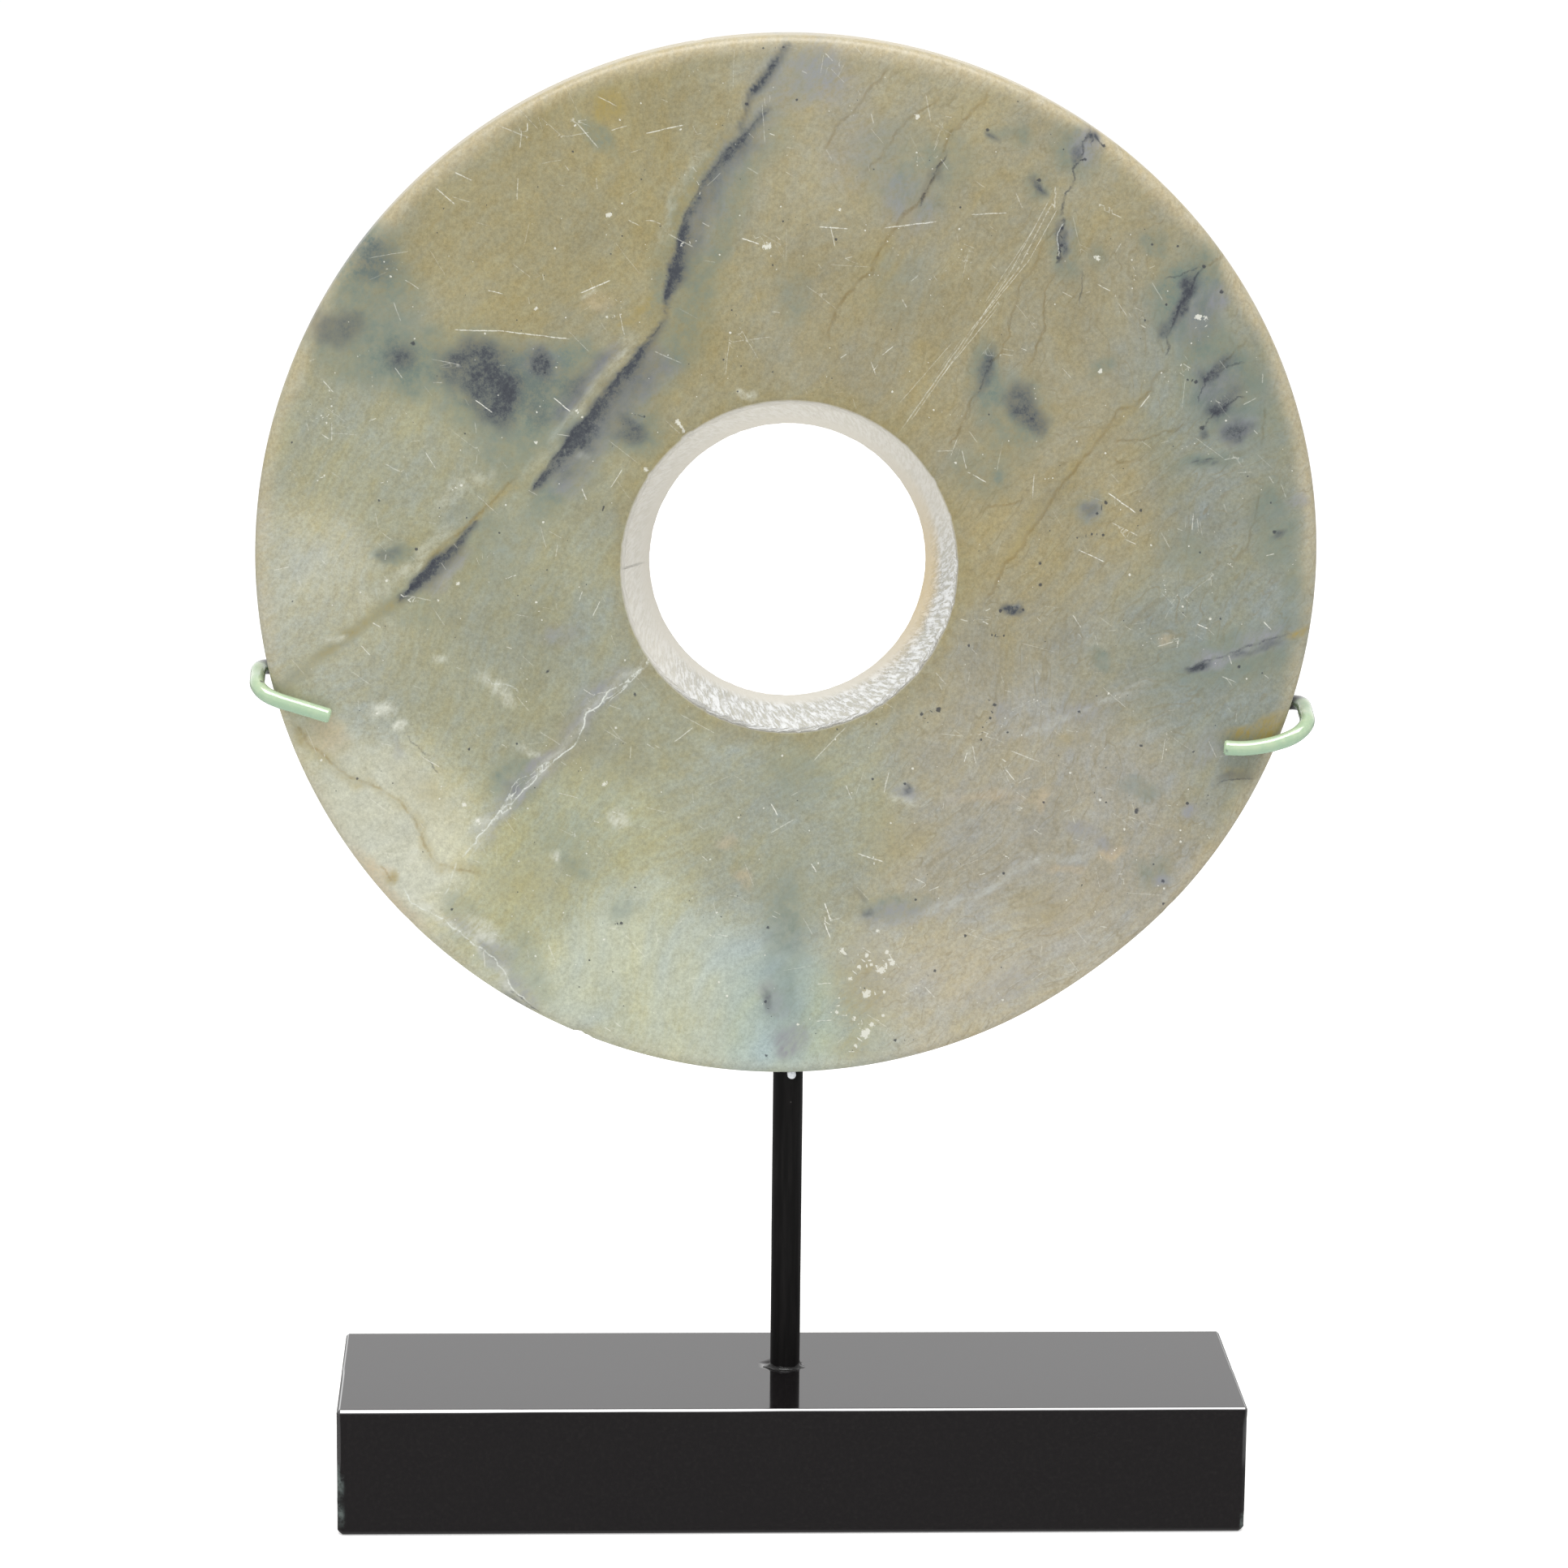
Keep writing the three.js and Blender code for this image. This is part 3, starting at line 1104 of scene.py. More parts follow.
@dataclass(frozen=True)
class Spot:
    """A small round speck or fleck."""

    x: float
    z: float
    radius: float

    def at(self, x: Array, z: Array) -> tuple[Array, Array]:
        """How far each point is, and the way there and the radius."""
        dx, dz = x - self.x, z - self.z
        return np.hypot(dx, dz), columns(dx, dz, self.radius)


@dataclass(frozen=True)
class Scratch:
    """A straight scratch between two places."""

    x1: float
    z1: float
    x2: float
    z2: float
    strength: float

    def at(self, x: Array, z: Array) -> tuple[Array, Array]:
        """How far each point is, and the share along the half length, the way across, the strength.

        Args:
            x: Across, in mm.
            z: Up, in mm.

        Returns:
            The distances and the rows.
        """
        middle_x, middle_z = (self.x1 + self.x2) / 2, (self.z1 + self.z2) / 2
        half_x, half_z = self.x2 - middle_x, self.z2 - middle_z
        half = math.hypot(half_x, half_z)
        dx, dz = x - middle_x, z - middle_z
        along = (dx * half_x + dz * half_z) / half
        beside = (dz * half_x - dx * half_z) / half
        away = np.hypot(np.maximum(np.abs(along) - half, 0), beside)
        return away, columns(along / half, beside, self.strength)


GROUND = (
    # honey and olive over the upper half
    Field("#978F6E", -42, 76, 34), Field("#9F9980", 18, 93, 26), Field("#958E73", 36, 60, 30),
    Field("#9A9275", 58, 14, 26), Field("#9A9A83", -76, 14, 26), Field("#AEAD99", -100, -2, 15),
    # grey-green at the right, paling to tan below
    Field("#8A8D80", 90, 26, 22), Field("#898E84", 88, -20, 24), Field("#9D998A", 56, -52, 30),
    Field("#AEA997", 42, -90, 22),
    # olive under the hole and at the left, cream and pale green along the lower edge
    Field("#999B89", 0, -48, 24), Field("#959681", -48, -22, 26), Field("#A3A488", -50, -56, 20),
    Field("#C1C2B1", -82, -58, 16), Field("#B8BCA7", -34, -94, 20), Field("#A9B6AC", 4, -100, 14),
)

# Courses of the main vein and its branches: across, up, half width and depth of colour.
VEIN_HEAD = (
    (-1, 106, 0.4, 0.6), (-4.5, 101, 0.56, 0.9), (-6.5, 98.3, 0.64, 0.95), (-8.6, 95.6, 0.48, 0.95),
    (-9.6, 92.5, 0.32, 0.7), (-10.6, 88, 0.28, 0.6),
)
VEIN_UPPER = (
    (-4, 93.5, 0.22, 0.38), (-8.5, 88.3, 0.36, 0.76), (-11, 86, 0.5, 0.9), (-14, 82.5, 0.43, 0.85),
    (-17, 79, 0.36, 0.81), (-19.2, 74.8, 0.32, 0.76), (-21.4, 70.3, 0.4, 0.85), (-22.5, 66.5, 0.58, 1.04),
    (-23.2, 63.3, 0.79, 1.14), (-23.8, 60.5, 0.94, 1.23), (-24.6, 57.6, 0.65, 1.14), (-25.1, 55, 0.36, 0.95),
    (-25.1, 52.6, 0.2, 0.4), (-25.2, 49.7, 0.2, 0.3),
)
VEIN_LOWER = (
    (-24.3, 51.2, 0.16, 0.25), (-27, 47.8, 0.2, 0.76), (-29.8, 44.6, 0.3, 0.9), (-32.5, 41, 0.41, 1.04),
    (-35.6, 37, 0.46, 1.14), (-38.6, 33.2, 0.56, 1.23), (-41.4, 29.4, 0.61, 1.23), (-44.3, 25.6, 0.56, 1.23),
    (-47.3, 21.6, 0.46, 1.14), (-50.3, 17.9, 0.35, 1.04), (-53.2, 14.6, 0.2, 0.66),
)
VEIN_WEDGE = (
    (-63, 9.2, 0.24, 0.4), (-66.5, 5.2, 0.48, 1), (-69.3, 2.5, 0.8, 1.2), (-72, 0, 0.96, 1.3),
    (-74.6, -3, 0.96, 1.3), (-77, -5.6, 0.64, 1.1), (-79.8, -7.9, 0.32, 0.6),
)
VEIN_TAIL = (
    (-78, -6.8, 1.0, 0.5), (-84.5, -11.3, 1.2, 0.55), (-94, -18, 1.3, 0.4), (-104, -27, 1.6, 0.4),
)

# Courses of other lines: across and up.
WHITE_CRACK = (
    (-27, -17.5), (-31, -22), (-36, -26), (-40.5, -30.5), (-42, -34.5), (-48, -40.8), (-55.5, -48),
    (-60.5, -54.5), (-66, -60.5), (-67.7, -62.5),
)
OCHRE_VEIN = (
    (-101, -32), (-98, -37.4), (-95, -39.5), (-89, -44.4), (-82, -47.5), (-77, -52), (-74, -59), (-71, -63),
    (-65, -64), (-61, -65),
)
BOTTOM_BAND = ((0.5, -52), (0.5, -66), (0.5, -80), (0.5, -90), (0.5, -100), (0, -109))
RIGHT_STREAK = ((42, -36), (60, -31), (77, -22.7))
LOWER_STREAK = ((22, -75), (38, -70), (52, -62), (67, -60))
RIM_SEAM = (
    (-79, -67), (-75, -71.5), (-70.5, -74.7), (-64.5, -79), (-59, -84.5), (-56.5, -89), (-51.5, -93.5),
)

# Oval stains: across, up, half width, half height, cover and, where it leans, its turn in degrees.
PATCHES: dict[Pigment, Rows] = {
    Pigment.MOSS: (
        # the blotches at the upper left, and small ones down the left side
        (-86, 63, 9, 6, 0.6), (-84, 54, 9, 9, 0.6), (-88, 44, 9, 7, 0.6), (-77, 42, 8, 7, 0.6),
        (-66, 38, 11, 10, 0.5), (-56, 34, 12, 10, 0.85), (-45, 40, 8, 6, 0.7), (-50, 28, 9, 6, 0.55),
        (-39, 86.5, 5, 2.6, 0.6, -40), (-80, 1, 4.5, 2, 0.5), (-77, -9, 7, 4, 0.35, -25),
        (-62, 4, 9, 9, 0.3), (-31, 27.5, 6, 5, 0.5), (-58, 22, 7, 5, 0.4), (40, 20, 8, 6, 0.35),
        (20, 82, 7, 9, 0.35), (0, 99, 8, 6, 0.3),
        # upper middle and the spots above the hole
        (27, 79, 6, 9, 0.5, -20), (33, 83, 5, 5, 0.3), (1, 54.5, 3.5, 5, 0.4), (22, 58, 8, 7, 0.2),
        (41, 88, 3, 2, 0.5), (46, 87, 2.4, 2.6, 0.6), (57, 84, 5, 6, 0.45), (55, 66, 3.4, 6, 0.5),
        (50, 77, 2.6, 3, 0.5), (62, 63, 2.4, 2, 0.4), (45, 31, 7, 8, 0.65), (39.5, 39, 3.6, 6.5, 0.6),
        (61.5, 12, 4.6, 3, 0.55), (64, 41, 2.6, 1.6, 0.5), (42.5, 18.5, 1.8, 1.8, 0.5),
        # the cloudy area at the right edge; the last row is a painted shade under the right prong
        (80, 56, 7, 10, 0.75, -25), (83, 47, 7, 7, 0.7), (74, 65.5, 3, 2.4, 0.5), (88, 36, 8, 9, 0.8),
        (85, 22, 7, 2.4, 0.55, 8), (99, 9, 5, 8, 0.6), (96, 30, 5, 9, 0.3), (80, 3, 6, 4, 0.25),
        (104, -6, 4, 9, 0.35), (92, -19, 14, 6, 0.5, 12), (64.5, -20, 3, 1.4, 0.6, -35),
        # painted shade under the right prong's wire
        (93, -42, 4.4, 3.4, 0.15),
        # below
        (72, -47, 4, 2.4, 0.4), (77, -64, 4, 3, 0.5), (22, -72.5, 8, 3, 0.4, 8), (2, -44, 8, 6, 0.3),
        (-56, -45, 5, 5, 0.65), (-46, -57, 6, 5, 0.25), (-43, -63, 4, 1.4, 0.35, -25),
        (-33, -71.5, 4, 2.4, 0.28), (-67, -72, 6, 3, 0.3, -20), (-52, -84, 4, 8, 0.35, 25),
    ),
    Pigment.GRAPHITE: (
        (-84, 62, 4.5, 3.5, 0.35), (-92.5, 47.5, 3.6, 4, 0.7, 30), (-89, 50, 3.2, 3, 0.6),
        (83.5, 51, 4, 7, 0.22, -20), (88, 35, 5, 6, 0.25), (-78, 43, 4, 3.2, 0.6, -20),
        (-63.5, 39.5, 6.5, 6, 0.95), (-60, 33.5, 5, 6, 0.95), (-53, 37, 8, 7, 0.25),
        (-58, 28.5, 2.4, 3, 0.55, 10), (-49.6, 40.6, 2.8, 3.6, 0.75), (-51, 30, 3, 2.6, 0.3),
        (-43.3, 37, 2.4, 1.6, 0.45, 50), (-32.3, 28, 3.4, 2.6, 0.7), (-81, 1, 2.6, 1.3, 0.35),
        (28.5, 79, 1.1, 4, 0.55, -30), (40.5, 87.8, 2, 0.9, 0.9, -30), (60.7, 87.4, 1.4, 1.6, 0.85, 30),
        (58, 83.5, 1.2, 2.6, 0.6, -15), (50, 77, 0.9, 2.2, 0.9, 28), (54.6, 66.5, 1.1, 3.8, 0.85),
        (39.8, 39.5, 1.6, 4.4, 0.6, -20), (47.2, 32.5, 2.6, 4.2, 0.95, 12), (49.6, 29.6, 2.2, 2.4, 0.6),
        (61.8, 12.2, 2.4, 1.2, 0.6, -30), (79.5, 55, 1.6, 6.5, 0.9, -25), (76, 48, 1.4, 1.6, 0.6),
        (86.8, 40, 4.2, 1.5, 0.85, 38), (87.6, 33.4, 4.6, 1.5, 0.9, 28), (83.8, 28.6, 1.3, 0.9, 0.9),
        (91, 28, 3.4, 2.2, 0.6), (85, 21.4, 3, 0.6, 0.5, 8), (99.5, 7, 1.3, 0.9, 0.8),
        (46, -9.4, 2.1, 1.1, 1.0), (46.6, -10, 1.2, 1.0, 1.0), (84, -20.6, 2.2, 0.9, 0.9, 20),
        (93, -17.6, 3, 0.9, 0.6, 15), (98.5, -15.6, 3, 0.8, 0.55, 15), (92, -44.2, 4, 1.0, 0.35, 6),
        (24.5, -45.8, 1.4, 0.7, 0.7, 25), (16.5, -73.8, 1.6, 0.8, 0.45), (15.3, -70, 0.7, 2.4, 0.35, 15),
        (-59.5, -83, 1.2, 3.4, 0.4, 35), (-54.5, -91.5, 0.8, 2.6, 0.55, 50), (-3.8, -92, 0.9, 3, 0.5, 15),
        (-55.8, -47, 1.8, 1.2, 0.4, 40),
    ),
    Pigment.LILAC: (
        (-50, 41, 5, 4, 0.3), (-47, -14, 4, 2.4, 0.4), (24, 74, 6, 6, 0.4), (3, 98, 11, 7, 0.45),
        (14, 84, 8, 9, 0.25, -30), (59.5, 85.5, 3, 4, 0.6), (55, 67, 2, 4, 0.3), (82.5, 52, 5, 7, 0.4, -20),
        (86.8, 56, 2, 2.6, 0.6), (87, 37, 5, 5, 0.4), (91, 28.5, 3.6, 2.6, 0.6), (104, 14.5, 2, 1.6, 0.8),
        (62, 12, 3, 2.4, 0.5), (88, -18.8, 6, 2, 0.7, 14), (97, -15, 6, 2.2, 0.6, 14), (61, -30, 4, 2, 0.5),
        (42.6, -30, 2, 3, 0.4), (86, -38, 4, 3.6, 0.35), (24.5, -46.5, 3, 1.6, 0.6), (83, -50, 2, 1.6, 0.7),
        (62, -55, 3, 1.4, 0.6, -35), (67, -58.5, 3, 1.4, 0.5, -35), (78.5, -66, 1.8, 1.4, 0.8),
        (23, -74, 8, 2.4, 0.5, 8), (46, -89, 8, 4, 0.3, 20), (0.5, -100.5, 4, 3.6, 0.7),
        (-56, -47.6, 4, 2, 0.8, 40), (-50, -42, 4, 1.8, 0.6, 40), (-40, -30, 9, 3, 0.4, 45),
        (-65, -77.5, 6, 2.2, 0.6, -25), (-58.5, -82, 3, 4.6, 0.75, 30), (-54.5, -89, 2.4, 4.4, 0.65, 40),
        (-79, -38.5, 1.4, 2.4, 0.4, 30),
    ),
    Pigment.MILK: (
        (-42, 22.8, 3, 1, 0.5, -10), (24.5, -48, 4, 1.2, 0.3), (46.3, -9.1, 0.6, 0.4, 1.0),
        (-61, -78, 3, 1.6, 0.6, -20), (-83, -30.5, 2.8, 1.5, 0.8), (-79, -34, 1.4, 1.0, 0.8),
        (-59, -25, 4.4, 1.2, 0.6, -35), (-34, -53, 2.4, 1.8, 0.6), (-48, -61, 1.4, 1.2, 0.7),
        (-77, -61.5, 2.4, 1.0, 0.5), (-53, -39.5, 3.4, 1.0, 0.5, -15), (-63, -54.5, 2.4, 1.0, 0.7, 30),
        (-93, -14.5, 2.4, 0.8, 0.5), (-71, -20, 1.8, 0.8, 0.5), (-8.5, 36.3, 1.4, 1, 0.6),
        (-40.5, 56, 2, 0.5, 0.35, 25), (-66, 15, 8, 1.4, 0.2, 40), (-61, -77, 6, 2.6, 0.5, -35),
        (38.5, -40, 1.2, 3.4, 0.25, 10),
    ),
    Pigment.OCHRE: (
        (-36.5, 92.5, 4, 3.4, 0.7), (104.5, -13.7, 2.2, 0.8, 0.7, 35), (92.5, -43.5, 3, 1.6, 0.3),
        (96.5, -35.8, 6.5, 1.6, 0.7, 5), (100.5, -33.4, 4.5, 2, 0.55, 25), (22, -56, 9, 4, 0.2),
        (53, -71, 5, 3.4, 0.2), (16, -88, 7.5, 9.5, 0.4), (14.5, -101, 6, 3, 0.25),
        (-81, -65.2, 1.5, 1.3, 0.65), (-99.5, -35, 1.6, 2.6, 0.35), (-76, -46, 7, 3, 0.2, -40),
        (59, -36, 4, 1.6, 0.25), (-40, -40, 12, 8, 0.15), (-52, -66, 9, 5, 0.15),
    ),
    Pigment.PEACH: (
        (-39, 54, 3, 2.4, 0.3), (44, -48, 10, 1.6, 0.2, 3), (53, -49, 1.0, 2.4, 0.3, 20),
        (68.5, -60.6, 2.4, 1.4, 0.5), (58, -62, 5, 0.9, 0.35), (60, -72, 12, 7, 0.1, 45),
        (38, -86, 12, 7, 0.1), (-12, -58, 2.4, 1.6, 0.3), (-9, -66, 3, 1.4, 0.3, -40),
        (-94, -35, 6, 3, 0.3, -40), (-82.5, -63.5, 3, 1.2, 0.4, -40), (78.5, -16, 1.4, 1.6, 0.4),
    ),
}

# Soft-edged stains along a line: half width, cover, fade at the ends and the line.
RIBBONS: dict[Pigment, Rows] = {
    Pigment.MOSS: (
        (5, 0.5, 0.12, ((-1, 99), (-5, 90), (-10, 82), (-14, 73), (-17.5, 64), (-19, 56), (-21, 48),
                        (-27, 40), (-34, 32), (-41, 23), (-49, 14), (-57, 5))),
        (2.2, 0.4, 0.2, ((-12, 87), (-17, 81), (-21.5, 74), (-25, 66), (-26.5, 60), (-27, 53), (-31, 46))),
        (4.2, 0.4, 0.45, BOTTOM_BAND), (7, 0.25, 0.45, BOTTOM_BAND),
    ),
    Pigment.GRAPHITE: (
        (3.6, 0.5, 0.15, ((-24.5, 45.7), (-29, 40.2), (-34, 34.2), (-38.5, 28.2), (-43, 22.2),
                          (-48.5, 15.2))),
        (1.8, 0.4, 0.3, ((-34, 47), (-38, 42), (-42, 37), (-46, 31.5), (-49.5, 26.5))),
        (2.2, 0.4, 0.2, ((-4.5, 91.5), (-10, 85), (-15.3, 77.5), (-19, 69.5), (-20.8, 62.5), (-22, 57))),
        (1.6, 0.35, 0.2, ((-65.5, 5), (-69.5, 0.5), (-73.5, -4.5), (-77.5, -8))),
    ),
    Pigment.LILAC: (
        (3.4, 0.35, 0.15, ((-3, 97), (-6.5, 89.5), (-11.5, 83), (-15.5, 76), (-18.5, 69), (-20, 62))),
        (4.2, 0.5, 0.12, ((-24, 45), (-29.5, 38.5), (-34.5, 32.5), (-39, 26.5), (-43.5, 20), (-49, 13.5))),
        (1.6, 0.6, 0.3, ((-33, 47.5), (-37, 42.5), (-41, 37.5), (-45.5, 31.5), (-49, 26.5))),
        (1.6, 0.6, 0.3, ((-64, 5), (-67.5, 0.5), (-71.5, -4.5), (-74.5, -7.5))),
        (2.2, 0.5, 0.2, WHITE_CRACK), (1.2, 0.3, 0.2, RIGHT_STREAK), (1.5, 0.35, 0.2, LOWER_STREAK),
        (2.2, 0.45, 0.2, ((-5.5, -87), (-2.5, -91), (-1, -96))),
    ),
    Pigment.MILK: (
        (1.0, 0.2, 0.2, ((-29, 50), (-32.5, 45.5), (-36, 41), (-40, 36), (-43.5, 31), (-47.5, 25.5),
                         (-56, 15.5))),
        (1.0, 0.15, 0.2, ((-16, 86), (-21, 79), (-25, 70), (-27.5, 62))),
        (1.4, 0.3, 0.2, ((-64, 11), (-70, 6.5), (-76, 0), (-83, -6), (-91, -12))),
        (0.8, 0.3, 0.1, WHITE_CRACK), (0.7, 0.2, 0.2, RIGHT_STREAK), (1.0, 0.25, 0.2, LOWER_STREAK),
        (0.9, 0.7, 0.2, RIM_SEAM),
    ),
    Pigment.OCHRE: (
        (0.7, 0.5, 0.3, ((-26.5, 57), (-30, 52.5), (-33.5, 49), (-36.5, 46))),
        (0.6, 0.4, 0.2, ((-9, 90), (-13.5, 85.5), (-18, 80), (-21.5, 74), (-24.5, 67))),
        (1.0, 0.5, 0.15, ((-54, 18), (-58, 14.6), (-62, 11), (-66, 7), (-70, 3.8), (-74, -1))),
        (1.1, 0.3, 0.05, OCHRE_VEIN),
        (1.4, 0.25, 0.2, ((40, 98.5), (32, 88), (28, 78.5), (19, 65.5), (8, 50))),
        (1.4, 0.3, 0.2, ((76, 43.5), (70.5, 34), (60.5, 22.5), (50, 9.5), (39.5, -9))),
    ),
    Pigment.PEACH: ((1.6, 0.3, 0.2, ((-90, -58), (-85, -65), (-79, -72), (-72, -78.5))),),
}

# Stains with one crisp side: their softness and course.
VEINS: dict[Pigment, Rows] = {
    Pigment.GRAPHITE: ((2.2, VEIN_HEAD), (2.8, VEIN_UPPER), (5.4, VEIN_LOWER), (2.0, VEIN_WEDGE)),
    Pigment.MOSS: ((0.4, VEIN_TAIL),),
    Pigment.OCHRE: ((0.2, VEIN_TAIL),),
}

# Narrow lines: half width, strength, jag and course.
SEAMS: dict[SeamKind, Rows] = {
    SeamKind.DARK: (
        (0.35, 0.4, 0.35, VEIN_UPPER), (0.35, 0.5, 0.35, VEIN_LOWER), (0.4, 0.6, 0.4, VEIN_WEDGE),
        (0.35, 0.7, 0.6, ((84, 62), (81.3, 57.5), (79, 53.6), (77.4, 49.8), (75.8, 43))),
        (0.3, 0.5, 0.4, ((75.5, 59), (79, 59.7), (83.5, 61.6))),
        (0.35, 0.7, 0.7, ((31.3, 85), (29.5, 81), (27.5, 77.5), (25, 73))),
        (0.35, 0.75, 0.6, ((60, 89.5), (58, 83), (56, 77.5), (54.2, 71.5))),
        (0.5, 0.8, 0.9, ((54.3, 71), (54.6, 65.5), (53.6, 61.8))),
        (0.35, 0.8, 0.5, ((60.2, 88.6), (61.4, 86.8), (62.7, 85.4))),
        (0.35, 0.6, 0.4, ((41, 42.6), (39.6, 39), (38, 35))),
        (0.3, 0.6, 0.8, ((92.7, 42), (87.3, 40.3), (84.5, 37.8), (82.6, 34))),
        (0.35, 0.65, 0.8, ((92.5, 35), (89.5, 33.8), (86.5, 31.5), (84, 28.7))),
        (0.3, 0.5, 0.3, ((82, 21.4), (85, 22.3), (88, 22.2))),
        (0.28, 0.5, 0.9, ((-77.5, -35), (-75.7, -38.4), (-73.5, -41), (-72.3, -43.6), (-70, -44.4))),
        (0.3, 0.6, 0.5, ((-56.5, -89.6), (-54.5, -91.8), (-50, -95))),
        (0.35, 0.6, 0.7, ((83, -21), (86.5, -19.5), (91, -18.2), (95, -17), (104, -13.4))),
        (0.3, 0.6, 0.6, ((89, -45.5), (91.5, -44.8), (97, -44.7))),
        (0.26, 0.5, 0.6, ((59, 60), (59.2, 57), (58.6, 54))),
    ),
    SeamKind.OCHRE: (
        (0.5, 0.5, 0.4, OCHRE_VEIN),
        (0.6, 0.65, 0.7, ((40, 98.5), (36.5, 92.5), (32, 88), (30, 82), (26.5, 75), (21, 69.5), (17, 62),
                          (11, 55), (7, 45))),
        (0.6, 0.55, 0.8, ((76, 43.5), (73.5, 37), (66.5, 30.5), (60.5, 22.5), (54, 14), (48, 5),
                          (39.5, -9))),
        (0.5, 0.55, 0.8, ((19.5, 101), (13, 93.5), (6, 85))),
        (0.45, 0.5, 0.8, ((31, 97), (22, 89), (14, 79))),
        (0.45, 0.6, 0.6, ((53.5, 61), (51.5, 54), (51, 48), (48, 41))),
        (0.45, 0.55, 0.6, ((54, 70), (47, 58), (44, 47), (40, 40))),
        (0.45, 0.55, 0.5, ((38, 36), (34, 28), (32, 25))),
        (0.45, 0.55, 0.5, ((81, 29.5), (74, 27), (66, 25.5))),
        (0.45, 0.5, 0.5, ((65.5, 22.6), (68.5, 21.5), (72, 23))),
        (0.45, 0.5, 0.5, ((96.5, 15), (94, 5), (92, 2))),
        (0.45, 0.5, 0.5, ((97, 33), (96, 25))), (0.45, 0.5, 0.5, ((93, 47), (87, 40.5))),
        (0.45, 0.55, 0.5, ((88.5, 63.5), (84, 61.5))), (0.45, 0.5, 0.5, ((40, 12), (48, 13.3))),
        (0.5, 0.5, 0.4, ((-54.5, 18), (-60, 13), (-66, 7.6), (-70.5, 3.5), (-75, -2))),
        (0.4, 0.5, 0.9, ((-84, -62.5), (-82, -64), (-80.3, -66.5))),
    ),
    SeamKind.WHITE: (
        (0.24, 1.0, 0.8, WHITE_CRACK),
        (0.16, 0.7, 0.3, ((-28, -20.5), (-32, -24.5), (-37, -28.8))),
        (0.2, 0.8, 0.4, ((-47.5, -41.5), (-53, -46.6), (-56.5, -50.5), (-59.5, -54))),
        (0.15, 0.6, 0.4, ((-51, -42.8), (-55, -45.8), (-57.5, -49.5))),
        (0.25, 0.5, 0.6, ((-67.7, -62.5), (-69, -66), (-70.8, -69))),
        (0.22, 0.9, 0.8, RIM_SEAM),
        (0.25, 0.6, 0.7, ((-62, -24), (-56.5, -25.5), (-55, -27))),
        (0.2, 0.6, 0.5, ((54.3, 70), (53.8, 63))),
    ),
}

# Specks and flecks that stand out: across, up and radius.
SPECKS = (
    (-9.2, 93.4, 0.6), (-6, 104.6, 0.4), (-2, 104.8, 0.5), (-76, 45, 0.7), (-3.7, 61.2, 0.3),
    (39.2, 88.6, 0.6), (84, 28.5, 0.8), (82.5, 38, 0.7), (99.4, 7.2, 0.7), (-13.4, 42, 0.35),
    (64.7, 13.1, 0.6), (63, 10.8, 0.5), (59, 5.8, 0.4), (62, 6.6, 0.4), (51.5, 0.5, 0.6), (51.7, -4, 0.5),
    (43.6, -9.4, 0.6), (48.3, -9.2, 0.5), (42, -14.5, 0.5), (44.4, -14.6, 0.4), (27.8, -31, 0.6),
    (31.3, -30.1, 0.8), (42.8, -29, 0.6), (42, -31.8, 0.5), (60.2, -30.4, 0.5), (93, -21, 0.6),
    (24.6, -45.6, 0.5), (66.2, -49.5, 0.4), (72.6, -51.4, 0.9), (83, -49.7, 0.5), (73.2, -37.6, 0.6),
    (84, -38.8, 0.4), (78.5, -66.2, 0.7), (78.7, -71, 0.5), (-3.4, -103.6, 0.6), (-3.7, -92, 0.5),
    (-41.3, -98.8, 0.6), (49.7, 78.6, 0.6), (54.6, 69, 0.6), (54.5, 65.5, 0.6), (53.8, 63, 0.6),
    (62.6, 85.6, 0.6), (72.8, 65.8, 0.4), (78, 65.5, 0.5), (83.4, 61.4, 0.6), (76, 53.6, 0.4),
    (87.2, 56.3, 0.7), (29.8, -5, 0.6), (-75.5, 3, 0.5), (-58.7, 6.4, 0.4), (-49.5, 39.2, 0.4),
    (-24.5, 17, 0.4), (53.3, -49.5, 0.5), (8.8, -30.6, 0.4),
)
FLECKS = (
    (12.2, -81.2, 0.8), (17.2, -82, 0.5), (18.2, -84, 0.4), (15.6, -84.6, 0.5), (20.4, -85.2, 1.0),
    (22.6, -83.8, 0.6), (21.4, -81.3, 0.5), (13.8, -87.1, 0.6), (17.4, -90.2, 1.0), (21, -89.9, 0.4),
    (11.2, -94.3, 0.5), (14.8, -95.6, 0.4), (17.2, -98.8, 1.1), (18.5, -97, 0.6), (20.9, -95, 0.4),
    (15.2, -101.4, 0.5), (82.4, 51.1, 0.6), (84, 50.9, 0.55), (63, 40, 0.5), (61.8, 63, 0.6),
    (-66, -50.2, 0.5), (-37.2, -45.6, 0.6), (-22.1, 65.2, 0.5), (-4.8, 65, 0.8), (-67.2, -4, 0.5),
    (-37, 50.5, 0.4), (-51.2, 52.2, 0.4), (-22.6, 29.3, 0.5), (-21.9, 28.4, 0.45), (-21.3, 27.4, 0.4),
    (-29, 19.4, 0.5), (-36.6, 71.2, 0.6), (25, 91.3, 0.5), (-51.3, 25, 0.4), (19.5, -76.8, 0.4),
    (-63.2, -53.5, 0.5),
)

